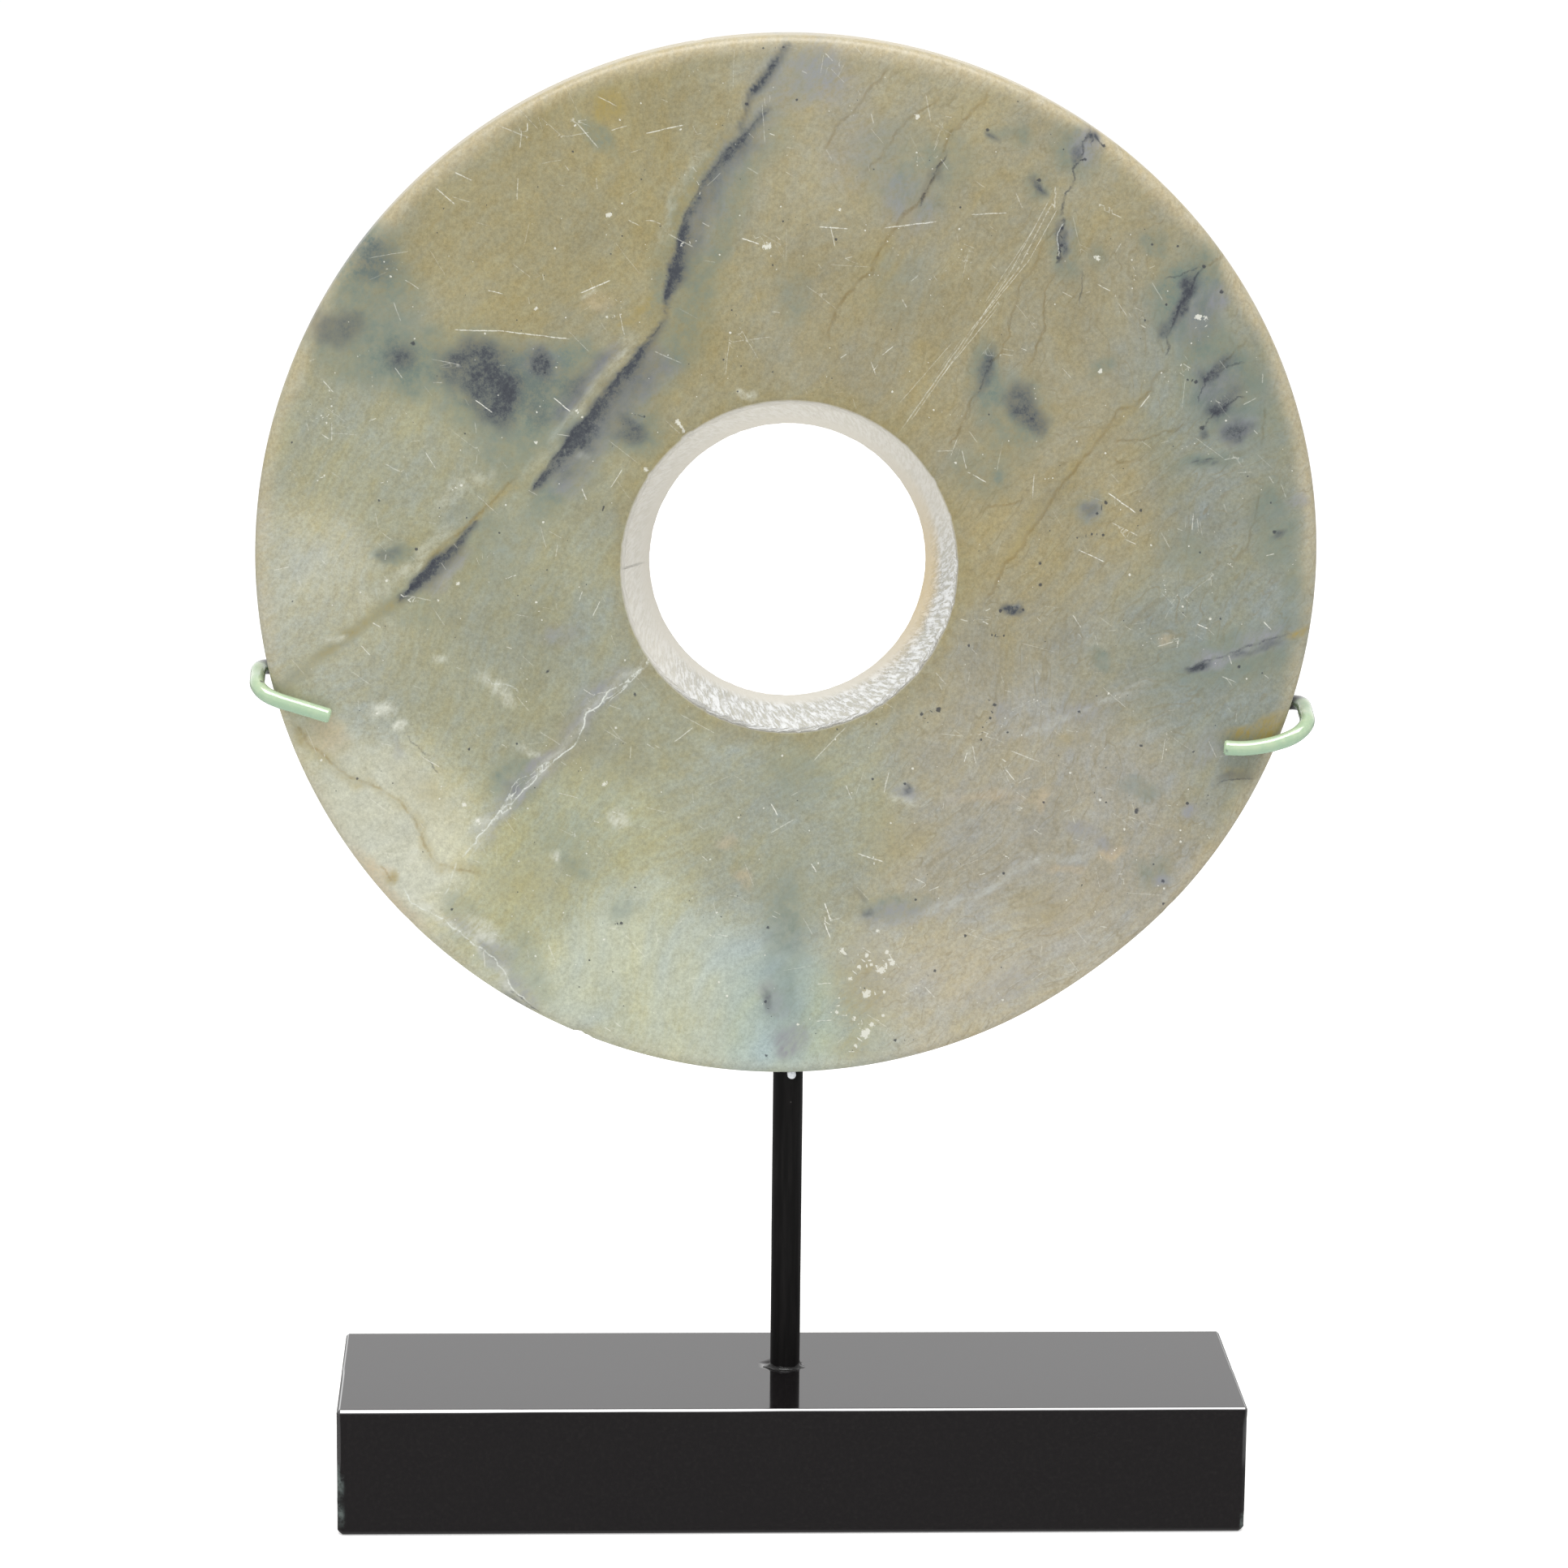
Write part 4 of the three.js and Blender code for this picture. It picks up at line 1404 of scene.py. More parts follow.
# Scratches that stand out: from, to and strength.
SCRATCHES = (
    (-68, 47.8, -58, 47.6, 0.8), (-58, 47.6, -44.3, 46, 0.9), (-29.5, 87.4, -21.5, 89.3, 0.8),
    (-53, 89.5, -53, 86.2, 0.8), (-67.5, 79.5, -64, 77.8, 0.8), (-71.5, 76.5, -67.4, 73, 0.7),
    (-44, 90.5, -38.7, 84.4, 0.6), (-61, 55.8, -57.8, 55.1, 0.8), (-42.5, 55.3, -36.2, 58, 0.9),
    (5.5, 69, 11.5, 68.6, 0.8), (18.5, 68.8, 29.5, 70.2, 0.8), (36, 71.6, 43.5, 72, 0.7),
    (-10, 66.6, -6.4, 65.4, 1.0), (65, 15.2, 71, 10.9, 1.0), (66, 9, 71.5, 6.2, 0.6),
    (59.2, 3.4, 64.8, 0.8, 0.9), (84, -12, 86.3, -13, 1.0), (8.4, -70.8, 9.5, -74.6, 1.0),
    (8.3, -75, 9.7, -78.5, 1.0), (5.5, -62.5, 6.6, -64.4, 1.0), (15, -60.4, 20.5, -62.2, 0.9),
    (-3, -49.8, -1.5, -52.4, 0.9), (45.3, -42.5, 47.4, -45.2, 0.7), (46, -38.5, 52.5, -41.1, 0.5),
    (38.4, -37.5, 39.2, -41.5, 0.6), (-78.8, -6.3, -76.6, -8, 0.9), (-84.5, -12.2, -82.8, -13.2, 0.8),
    (-63.6, 33.6, -60, 31, 0.9), (-47.8, 34.2, -44.2, 31.2, 0.9), (53, 77.5, 53, 73, 0.5),
    (53.4, 76, 46, 61, 0.35), (46, 61, 36, 47.5, 0.4), (36, 47.5, 22.5, 27.5, 0.4),
    (71, 32.4, 73.3, 35.4, 0.7), (-42, 15.6, -41, 13.2, 0.8), (-23, -37, -19, -33.8, 0.6),
    (12.4, -33.6, 5.6, -41, 0.5), (97.7, -11.5, 99.4, -13.2, 0.8), (88.5, 22, 92, 22.6, 0.5),
    (-92.5, 25, -92.5, 29, 0.5),
)

# The sheaf of fine scratches that runs down from the right towards the hole.
SHEAF = {
    "nick": ((52, 75, 44, 59.5, 0.4), (44, 59.5, 35, 45, 0.4), (35, 45, 24.5, 29.5, 0.35)),
    "hair": ((53.6, 73, 48, 62.5, 0.6), (48, 62.5, 38.5, 50.5, 0.5), (42, 53, 30, 38, 0.5),
             (49, 69, 39, 53.5, 0.4), (33, 46, 22, 33, 0.4)),
}


@dataclass
class Wear:
    """Small random marks: grit, pinholes and scratches, the same on every run."""

    seed: int = 11
    reach: float = 105.0
    hole: float = 35.5

    def __post_init__(self) -> None:
        """Starts the random draws."""
        self.draw = np.random.default_rng(self.seed)

    def places(self, count: int) -> Array:
        """Random places on the face.

        Args:
            count: How many.

        Returns:
            Rows of across and up.
        """
        away = np.sqrt(self.draw.uniform(self.hole**2, self.reach**2, count))
        angle = self.draw.uniform(0, TAU, count)
        return columns(away * np.cos(angle), away * np.sin(angle))

    def spots(self, count: int, small: float, large: float) -> list[Spot]:
        """Random spots, small ones more often."""
        size = small + (large - small) * self.draw.uniform(0, 1, count) ** 3
        return [Spot(*place, radius) for place, radius in zip(self.places(count), size)]

    def scratches(self, count: int, short: float, long: float, strength: float) -> list[Scratch]:
        """Random scratches that mostly slant one way.

        Args:
            count: How many.
            short: The shortest, in mm.
            long: The longest, in mm.
            strength: The strongest.

        Returns:
            The scratches.
        """
        angle = np.radians(self.draw.normal(-40, 38, count))
        half = (short + (long - short) * self.draw.uniform(0, 1, count) ** 2.5) / 2
        force = strength * self.draw.uniform(0.25, 1, count)
        step = columns(half * np.cos(angle), half * np.sin(angle))
        place = self.places(count)
        rows = np.hstack([place - step, place + step, force[:, None]])
        return [Scratch(*row) for row in rows]


class StoneMarks:
    """Works out, for each vertex of the disc, the ground's colour and the marks near it."""

    dip = (0.3, -0.18)  # how far marks wander, in mm, for each mm below the front face
    spot_range = 1.7
    scratch_range = 1.5
    flow_turn = 55.0  # degrees from level that the stone's grain runs at

    def __init__(self) -> None:
        """Gathers the placed marks and draws the random ones."""
        wear = Wear()
        self.spots = {
            "speck": [Spot(x, z, radius * 0.75) for x, z, radius in SPECKS] + wear.spots(170, 0.14, 0.42),
            "fleck": [Spot(x, z, radius * 1.05) for x, z, radius in FLECKS] + wear.spots(420, 0.1, 0.3),
        }
        self.scratches = {
            "scratch": [Scratch(*row) for row in SCRATCHES] + wear.scratches(60, 2, 8, 0.5),
            "nick": [Scratch(*row) for row in SHEAF["nick"]] + wear.scratches(170, 1.2, 5, 0.8),
            "hair": [Scratch(*row) for row in SHEAF["hair"]] + wear.scratches(260, 1.5, 9, 0.45),
        }

    def at(self, x: Array, z: Array, depth: Array) -> dict[str, Array]:
        """Reads the marks at points.

        Args:
            x: Across, from the disc's centre, in mm.
            z: Up, from the centre, in mm.
            depth: How far behind the front face, in mm.

        Returns:
            Rows of three numbers for each point, by attribute name.
        """
        x = x + self.dip[0] * depth
        z = z + self.dip[1] * depth
        found = {"ground": self._ground(x, z), "flow": self._flow(x, z, depth)}
        drift = 2.0 * noise(x, z, 14, 3, 2), 2.0 * noise(x, z, 14, 8, 2)
        fray = 0.7 * noise(x, z, 3.4, 5, 3), 0.7 * noise(x, z, 3.4, 6, 3)
        thickness = 0.95 + 0.35 * noise(x, z, 7, 19, 3)
        clear = {"stains": np.ones((len(x), 3)), "clouds": np.ones((len(x), 3))}
        for table, kind, loose, frayed in (
            (PATCHES, Patch, 0.6, 1.3), (RIBBONS, Ribbon, 0.1, 1.3), (VEINS, Vein, 0.05, 0.5),
        ):
            across, up = x + drift[0] * loose + fray[0] * frayed, z + drift[1] * loose + fray[1] * frayed
            for pigment, rows in table.items():
                name, part = pigment.value
                for row in rows:
                    amount = kind(*row).amount(across, up)
                    clear[name][:, part] *= 1 - np.clip(amount * thickness, 0, 1)
        found |= {name: 1 - left for name, left in clear.items()}
        for kind in SeamKind:
            seams = (Seam(*row).at(x, z, 40 + number) for number, row in enumerate(SEAMS[kind]))
            found[kind.value], _ = nearest(seams, len(x))
        front = depth < 1
        for name, marks in (self.spots | self.scratches).items():
            found[name], away = nearest((mark.at(x, z) for mark in marks), len(x))
            if name in self.spots:
                found[name][:, 2] *= (away < self.spot_range) & front
            else:
                near = ramp(away, self.scratch_range, self.scratch_range * 0.65)
                found[name][:, 2] *= near * front
        return found

    def _flow(self, x: Array, z: Array, depth: Array) -> Array:
        """Places drawn out along the stone's grain, for streaky noise.

        Args:
            x: Across, in mm.
            z: Up, in mm.
            depth: How far back from the front face, in mm.

        Returns:
            Rows of three numbers.
        """
        turn = math.radians(self.flow_turn)
        x = x + 7 * noise(x, z, 34, 14, 2)
        z = z + 7 * noise(x, z, 34, 15, 2)
        along = x * math.cos(turn) + z * math.sin(turn)
        across = z * math.cos(turn) - x * math.sin(turn)
        return columns(along * 0.45, across, depth * 0.5)

    def _ground(self, x: Array, z: Array) -> Array:
        """The ground's colour: broad areas, mottled and streaked.

        Args:
            x: Across, in mm.
            z: Up, in mm.

        Returns:
            Rows of linear colours.
        """
        sway = 5 * noise(x, z, 26, 11, 2), 5 * noise(x, z, 26, 12, 2)
        total, weights = np.zeros((len(x), 3)), np.full(len(x), 1e-9)
        for area in GROUND:
            away = np.hypot(x + sway[0] - area.x, z + sway[1] - area.z) / area.reach
            weight = 1 / (0.15 + away**2) ** 2.5
            total += weight[:, None] * np.array(tone(area.colour))
            weights += weight
        colour = total / weights[:, None]
        along, across, _ = self._flow(x, z, x * 0).T
        streak = noise(along, across, 4.0, 31, 3)
        cloud = noise(x + sway[1], z + sway[0], 13, 33, 3)
        warm = noise(x + sway[0], z, 10, 37, 3)
        fine = noise(along * 0.5, across, 2.6, 41, 2)
        pale = ramp(colour.mean(axis=1), 0.42, 0.56)
        light = 1 + 0.03 * streak + 0.06 * cloud
        warm = (warm + 0.8 * fine) * (1 - 0.6 * pale)
        return colour * light[:, None] * columns(1 + 0.03 * warm, 1.0, 1 - 0.09 * warm)


# ---- The disc ----


def blend(colours: Array, code: str, share: Array) -> Array:
    """Rows of colours, each gone over to another colour by its share."""
    return colours * (1 - share[:, None]) + np.array(tone(code)) * share[:, None]


# Chips on the hole's front rim, and on the outer edge at the front (0) or the back (1):
# degrees round, size, depth and, on the outer edge, which side.
HOLE_CHIPS = (
    (128, 1.5, 0.5), (146, 0.8, 0.3), (32, 0.9, 0.3), (47, 0.7, 0.25), (18, 0.8, 0.3), (-12, 1.0, 0.3),
    (-38, 1.2, 0.35), (-55, 1.0, 0.3), (-84, 0.9, 0.3), (-118, 1.1, 0.35), (-141, 1.0, 0.3), (172, 0.7, 0.2),
)
EDGE_CHIPS = (
    (-112.8, 2.0, 0.6, 0), (63, 1.2, 0.3, 0), (-42, 1.1, 0.3, 0), (52, 1.3, 0.35, 0), (24, 1.0, 0.25, 0),
    (155, 1.2, 0.3, 0), (-136, 1.4, 0.35, 0), (-70, 1.0, 0.3, 1), (100, 1.6, 0.4, 1), (200, 1.3, 0.4, 1),
    (10, 1.8, 0.5, 1), (-20, 1.2, 0.3, 0),
)


@dataclass
class JadeDisc:
    """The disc: ground flat on both faces, worn at its edges, its hole drilled from the front."""

    radius: float = 107.87
    edge_round: float = 2.0
    lobes: tuple[tuple[int, float, float], ...] = ((2, 0.5, 3.0), (3, 0.22, 25.0))
    flat_depth: float = 0.35
    flat_middle: float = -52.0
    flat_spread: float = 7.0
    hole_front: float = 34.1
    hole_back: float = 28.4
    hole_shift: tuple[float, float] = (0.3, -0.6)
    rim_ease: float = 0.5
    hole_land: float = 1.0
    frost_middle: float = -62.0  # degrees round, where the frosted part of the wall is widest
    peck_wall: float = 0.04
    peck_frost: float = 0.2
    face_wave: float = 0.035
    # the colour that paints light along the disc's outer edge
    painted_edge_light: str = "#BDB195"
    hole_tone: str = "#93875A"
    fine_count: int = 800
    coarse_count: int = 400
    inner_rings: int = 34
    outer_rings: int = 58
    back_rings: int = 36
    wall_rings: int = 22
    finish: JadeFinish = field(default_factory=JadeFinish)

    def __post_init__(self) -> None:
        """Takes the disc's place from the frame."""
        low, high = in_mm(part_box("jade_disc"))
        angle = np.linspace(0, TAU, 721)
        reach = self.radius + self._swell(angle)
        across, up = reach * np.cos(angle), reach * np.sin(angle)
        self.front, self.back = low.y, high.y
        self.x = (low.x + high.x - across.min() - across.max()) / 2
        self.z = (low.z + high.z - up.min() - up.max()) / 2

    def _swell(self, angle: Array) -> Array:
        """How far the rim stands out from a true circle, in mm.

        Args:
            angle: Directions, in radians.

        Returns:
            The distance, for each direction.
        """
        total = np.zeros_like(angle)
        for count, swell, axis in self.lobes:
            total += swell * np.cos(count * (angle - math.radians(axis)))
        away = np.degrees(turn_from(angle, self.flat_middle))
        return total - self.flat_depth * np.exp(-((away / self.flat_spread) ** 2) / 2)

    def _rim(self, inset: float, depth: float, count: int) -> Array:
        """A ring of the outer part, inset from the rim and depth behind the front face.

        Args:
            inset: How far in from the rim, in mm.
            depth: How far back from the front face, in mm.
            count: Points in the ring.

        Returns:
            The ring's points.
        """
        angle = round_steps(count)
        reach = self.radius + self._swell(angle) - inset
        return columns(reach * np.cos(angle), depth, reach * np.sin(angle))

    def _bore(self, radius: float, depth: float, count: int) -> Array:
        """A ring of the hole, at a radius and depth.

        Args:
            radius: The radius, in mm.
            depth: How far back from the front face, in mm.
            count: Points in the ring.

        Returns:
            The ring's points.
        """
        angle = round_steps(count)
        x = self.hole_shift[0] + radius * np.cos(angle)
        return columns(x, depth, self.hole_shift[1] + radius * np.sin(angle))

    def _rings(self) -> list[Array]:
        """All the rings, from the hole's front rim out, round the edge, and back down the hole.

        Returns:
            The rings, in order.
        """
        thick = self.back - self.front
        ease, half = self.rim_ease, self.edge_round
        fine, coarse = self.fine_count, self.coarse_count
        split = 0.36  # share of the way from hole to rim where a ring's points double
        back_start = 0.985  # share of the way out where the back's rings begin
        turns, side_rings = 6, 4
        rings = []

        def across(count: int, depth: float, radius: float, start: float, end: float, steps: int) -> None:
            """Adds rings over a face.

            Args:
                count: Vertices in a ring.
                depth: How far behind the front face.
                radius: The face's inner edge.
                start: The first ring's share of the way out.
                end: The last ring's share.
                steps: How many gaps between rings.
            """
            inner, outer = self._bore(radius, depth, count), self._rim(half, depth, count)
            for i in range(steps + 1):
                t = start + (end - start) * i / steps
                rings.append(inner * (1 - t) + outer * t)

        across(coarse, 0.0, self.hole_front + ease, 0.0, split, self.inner_rings)
        step = (1 - split) / self.outer_rings
        across(fine, 0.0, self.hole_front + ease, split + step, 1.0, self.outer_rings - 1)
        bends = [math.pi / 2 * i / turns for i in range(1, turns + 1)]
        levels = [half + (thick - 2 * half) * i / side_rings for i in range(1, side_rings + 1)]
        rings += [self._rim(half * (1 - math.sin(a)), half * (1 - math.cos(a)), fine) for a in bends]
        rings += [self._rim(0.0, level, fine) for level in levels]
        rings += [self._rim(half * (1 - math.cos(a)), thick - half * (1 - math.sin(a)), fine) for a in bends]
        across(coarse, thick, self.hole_back + ease, back_start, 0.0, self.back_rings)
        rings.append(self._bore(self.hole_back + ease * 0.3, thick - ease * 0.3, coarse))
        rings.append(self._bore(self.hole_back, thick - ease, coarse))
        top, foot = thick - self.hole_land, ease
        for i in range(self.wall_rings + 1):
            t = i / self.wall_rings
            radius = self.hole_back + (self.hole_front - ease - self.hole_back) * t
            rings.append(self._bore(radius, top + (foot - top) * t, coarse))
        rings.append(self._bore(self.hole_front + 0.1, ease * 0.35, coarse))
        return rings

    def build(self) -> bpy.types.Object:
        """Makes the disc's mesh and dresses it.

        Returns:
            The disc, which stands for the CAD node jade_disc.
        """
        shell = Shell()
        shell.skin(self._rings(), closed=True)
        points, wall = self._carve(np.vstack(shell.points))
        marks = StoneMarks().at(points[:, 0], points[:, 2], points[:, 1])
        marks["wall"] = wall
        marks["flow"] = self._drawn_strokes(points, wall[:, :1], marks["flow"])
        marks["ground"] = self._edge_light(points, marks["ground"])
        shell.points = [points + np.array([self.x, self.front, self.z])]
        disc = shell.build("jade_disc_carved", self.finish.material(), marks)
        place_piece(disc, "jade", "jade_disc")
        return disc

    def _drawn_strokes(self, points: Array, wall: Array, flow: Array) -> Array:
        """Turns the grain, on the hole's wall, into strokes that slant across it.

        Args:
            points: The points, in mm.
            wall: How much each point is wall.
            flow: The places along the grain.

        Returns:
            The places, turned on the wall.
        """
        x, depth, z = points.T
        around = np.arctan2(z - self.hole_shift[1], x - self.hole_shift[0]) * self.hole_front
        slanted = around + depth * 0.8
        strokes = columns(slanted * 2.1, (depth - around * 0.25) * 0.8, around * 0.1)
        return flow * (1 - wall) + strokes * wall

    def _edge_light(self, points: Array, ground: Array) -> Array:
        """Pales the ground towards the outer edge as a painted light, strongest towards the top, and yellows
        it round the hole.

        Args:
            points: The points, in mm.
            ground: The ground's colours.

        Returns:
            The colours.
        """
        x, _, z = points.T
        angle = np.arctan2(z, x)
        inset = self.radius + self._swell(angle) - np.hypot(x, z)
        # painted light: the pale edge band is made strongest towards the top, where the light falls from
        upper = 0.5 + 0.3 * np.cos(angle - math.radians(70))
        share = ramp(inset + noise(x, z, 9, 21), 4.5, 0.5) * upper
        ground = blend(ground, self.painted_edge_light, share)
        away = np.hypot(x - self.hole_shift[0], z - self.hole_shift[1])
        rim = away - self.hole_front + 1.5 * noise(x, z, 6, 27, 2)
        return blend(ground, self.hole_tone, 0.45 * ramp(rim, 5.5, 0.5))

    def _carve(self, points: Array) -> tuple[Array, Array]:
        """Adds the relief: hand-ground faces, chipped rims and the pecked wall of the hole.

        Args:
            points: The plain shape's vertices.

        Returns:
            The carved vertices, and for each how much it is wall, how frosted and how yellow.
        """
        thick = self.back - self.front
        x, depth, z = points.T
        hole_x, hole_z = x - self.hole_shift[0], z - self.hole_shift[1]
        away, angle = np.hypot(hole_x, hole_z), np.arctan2(hole_z, hole_x)
        lean = (self.hole_front - self.hole_back) / (thick - self.hole_land)
        bore = self.hole_front - lean * np.clip(depth, 0, thick - self.hole_land)
        wall = ramp(away - bore, 0.55, 0.2) * ramp(depth, 0.04, 0.2)
        lower = ramp(np.abs(turn_from(angle, self.frost_middle)), 1.75, 0.9)
        frost = lower * ramp(depth, 8.2, 5.6) * wall
        frost = np.maximum(frost, 0.28 * wall * ramp(depth, 8.5, 4))
        yellow = np.exp(-(((np.degrees(angle) + 8) / 34) ** 2)) * ramp(depth, 3.4, 6.5) * wall
        around = angle * self.hole_front
        peck = noise(around + depth * 1.2, depth * 1.7 - around * 0.25, 1.5, 51, 2)
        ridge = np.abs(noise(around - depth * 0.8, depth * 1.5 + around * 0.3, 2.1, 57, 2))
        push = (self.peck_wall * wall + self.peck_frost * frost) * (peck - ridge)
        carved = points.copy()
        carved[:, 0] += push * np.cos(angle)
        carved[:, 2] += push * np.sin(angle)
        face = ramp(away, self.hole_front + 0.2, self.hole_front + 2)
        rim_room = ramp(np.hypot(x, z), self.radius - 1, self.radius - 6)
        sign = np.where(depth < thick / 2, 1, -1)
        carved[:, 1] += sign * self.face_wave * (1 + noise(x, z, 24, 61, 3)) * face * rim_room
        for chip in self.chips():
            carved = chip.cut(carved)
        return carved, columns(wall, frost, yellow)

    def chips(self) -> list["Chip"]:
        """The chips: along the hole's front rim and round the outer edge.

        Returns:
            The chips.
        """
        thick = self.back - self.front
        rim = self.hole_front + 0.2
        places = []
        for turn, size, depth in HOLE_CHIPS:
            a = math.radians(turn)
            middle = (self.hole_shift[0] + rim * math.cos(a), 0.0, self.hole_shift[1] + rim * math.sin(a))
            places.append(Chip(middle, size, depth, (math.cos(a) * 0.5, 0.85, math.sin(a) * 0.5)))
        bite = 0.7  # how far in from the edge a chip's middle lies
        for turn, size, depth, side in EDGE_CHIPS:
            a = math.radians(turn)
            reach = self.radius - bite
            middle = (reach * math.cos(a), bite + side * (thick - 2 * bite), reach * math.sin(a))
            inward = (-math.cos(a) * 0.7, 0.7 * (1 - 2 * side), -math.sin(a) * 0.7)
            places.append(Chip(middle, size, depth, inward))
        return places


@dataclass(frozen=True)
class Chip:
    """A shallow bite out of an edge."""

    middle: tuple[float, float, float]
    size: float
    depth: float
    inward: tuple[float, float, float]

    def cut(self, points: Array) -> Array:
        """Pushes the points near the chip into the stone.

        Args:
            points: The points, in mm.

        Returns:
            The moved points.
        """
        away = np.linalg.norm(points - np.array(self.middle), axis=1)
        near = away < self.size * 1.6
        close = points[near]
        ragged = 0.25 * noise(close[:, 0] * 3, close[:, 2] * 3, 1.7, 77, 2)
        share = ramp(away[near] / self.size + ragged, 1.15, 0.6)
        moved = points.copy()
        moved[near] += share[:, None] * self.depth * np.array(self.inward)
        return moved


# ---- The stand ----

# Bruises on the block, from its middle: across, back, up, size and depth.
BRUISES = (
    (-94.4, -25.3, -4.0, 1.5, 0.12), (-94.2, -25.2, -9.5, 1.3, 0.12), (-94.6, -25.0, 1.0, 0.9, 0.08),
    (94.6, -25.0, -11.5, 1.0, 0.1), (31.0, 25.3, 13.4, 1.3, 0.15), (-62.0, 25.3, -13.4, 1.6, 0.2),
)


@dataclass
class BaseBlock:
    """The polished stone block, drilled for the post, with hand-eased arrises."""

    arris_left: float = 0.76
    arris_right: float = 0.46
    arris_other: float = 0.6
    upright: float = 0.9
    lower: float = 1.1
    chamfer_power: float = 1.18
    edge_steps: int = 7
    face_step: float = 3.2
    socket_depth: float = 14.0
    socket_radius: float = 3.475
    socket_sides: int = 72
    finish: StoneFinish = field(default_factory=StoneFinish)

    def __post_init__(self) -> None:
        """Takes the block's box from the frame."""
        low, high = in_mm(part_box("base_block"))
        self.middle = (low + high) / 2
        self.half = (high - low) / 2

    def _stations(self, half: float) -> Array:
        """Places along one side: close together in the arrises and wide apart on the face.

        Args:
            half: Half the side's length, in mm.

        Returns:
            The places, in mm.
        """
        band = 1.6
        edge = half - band + band * np.linspace(0, 1, self.edge_steps * 2 + 1)
        count = max(2, round(2 * (half - band) / self.face_step))
        middle = np.linspace(-(half - band), half - band, count + 1)[1:-1]
        return np.concatenate([-edge[::-1], middle, edge])

    def _ease(self, p: Array) -> Array:
        """How far the edges are eased at points of the plain block, in mm.

        Args:
            p: Points of the plain block, in mm.

        Returns:
            The size of the ease at each point.
        """
        t = np.clip((p[:, 0] / self.half.x + 1) / 2, 0, 1)
        front = self.arris_left + (self.arris_right - self.arris_left) * t
        front = front + 0.05 * noise(p[:, 0], p[:, 0] * 0, 17, 5, 2)
        top = np.where(p[:, 1] < 0, front, self.arris_other)
        high = ramp(p[:, 2], self.half.z - 3.0, self.half.z - 1.2)
        low = ramp(p[:, 2], 3.0 - self.half.z, 1.2 - self.half.z)
        return self.upright * (1 - high - low) + top * high + self.lower * low

    def build(self) -> bpy.types.Object:
        """Makes the block.

        Returns:
            The block, which stands for the CAD node base_block.
        """
        sides = [self._stations(h) for h in self.half]
        shell, index = Shell(), {}
        rows = []

        def corner(a: int, b: int, c: int) -> int:
            """The number of the vertex at three stations, added if it is new.

            Args:
                a: The station across.
                b: The station back.
                c: The station up.

            Returns:
                The vertex's number.
            """
            if (a, b, c) not in index:
                index[a, b, c] = len(rows)
                rows.append((sides[0][a], sides[1][b], sides[2][c]))
            return index[a, b, c]

        for axis in range(3):
            one, two = (k for k in range(3) if k != axis)
            for end in (0, len(sides[axis]) - 1):
                for i in range(len(sides[one]) - 1):
                    for j in range(len(sides[two]) - 1):
                        square = []
                        for di, dj in ((0, 0), (1, 0), (1, 1), (0, 1)):
                            place = [0, 0, 0]
                            place[axis], place[one], place[two] = end, i + di, j + dj
                            square.append(corner(*place))
                        outward = (end > 0) ^ (axis == 1)
                        shell.faces.append(tuple(square if outward else square[::-1]))
        p = np.array(rows)
        ease = self._ease(p)[:, None]
        half = np.array(self.half)
        core = np.clip(p, -(half - ease), half - ease)
        out = p - core
        power = self.chamfer_power
        size = (np.abs(out) ** power).sum(axis=1, keepdims=True) ** (1 / power)
        eased = core + out / np.maximum(size, 1e-9) * ease
        shell.ring(self._bruise(eased)[0] + np.array(self.middle))
        block = self._drill(shell.build("block_plain", self.finish.material()))
        self._mark_edges(block.data)
        place_piece(block, "black_stone", "base_block")
        return block

    def _mark_edges(self, mesh: bpy.types.Mesh) -> None:
        """Stores where the block is bruised and where its arrises are.

        Args:
            mesh: The block's mesh.
        """
        p = np.empty(len(mesh.vertices) * 3)
        mesh.vertices.foreach_get("co", p)
        p = p.reshape(-1, 3) / MM - np.array(self.middle)
        inside = np.sort(np.array(self.half) - np.abs(p), axis=1)
        ease = self._ease(p)
        arris = ramp(inside[:, 1], ease + 0.02, ease * 0.9) * ramp(p[:, 2], 0, 2)
        store(mesh, "edges", columns(self._bruise(p)[1], arris, 0.0))

    def _bruise(self, p: Array) -> tuple[Array, Array]:
        """Knocks the lower left corner and a few arrises.

        Args:
            p: Points from the block's middle, in mm.

        Returns:
            The moved points, and where the bruises show.
        """
        hurt = np.zeros(len(p))
        for x, y, z, size, depth in BRUISES:
            away = np.linalg.norm((p - np.array([x, y, z])) / np.array([1, 1, 1.6]), axis=1)
            share = ramp(away / size + 0.3 * noise(p[:, 0] * 2, p[:, 2] * 2, 1.3, 9), 1.1, 0.5)
            inward = -np.sign(p) * np.array([0.7, 0.7, 0.1])
            p = p + inward * (share * depth)[:, None]
            hurt = np.maximum(hurt, share)
        return p, hurt

    def _drill(self, plain: bpy.types.Object) -> bpy.types.Object:
        """Cuts the post's socket into the block's top.

        Args:
            plain: The block without its socket.

        Returns:
            The drilled block.
        """
        low, high = in_mm(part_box("post"))
        top = self.middle.z + self.half.z
        depth = (top - self.socket_depth, top + 1)
        profile = [(self.socket_radius, depth[0]), (self.socket_radius, depth[1])]
        bit = lathe(profile, self.socket_sides, (low.x + high.x) / 2, (low.y + high.y) / 2)
        cutter = bit.build("socket_cutter", self.finish.material())
        cut = plain.modifiers.new("socket", "BOOLEAN")
        cut.operation, cut.solver, cut.object = "DIFFERENCE", "EXACT", cutter
        view = bpy.context.evaluated_depsgraph_get()
        mesh = bpy.data.meshes.new_from_object(plain.evaluated_get(view), depsgraph=view)
        mesh.materials.clear()
        mesh.materials.append(plain.data.materials[0])
        for face in mesh.polygons:
            face.material_index = 0
        block = add_object("block_polished", mesh)
        for used in (plain, cutter):
            bpy.data.objects.remove(used)
        return block


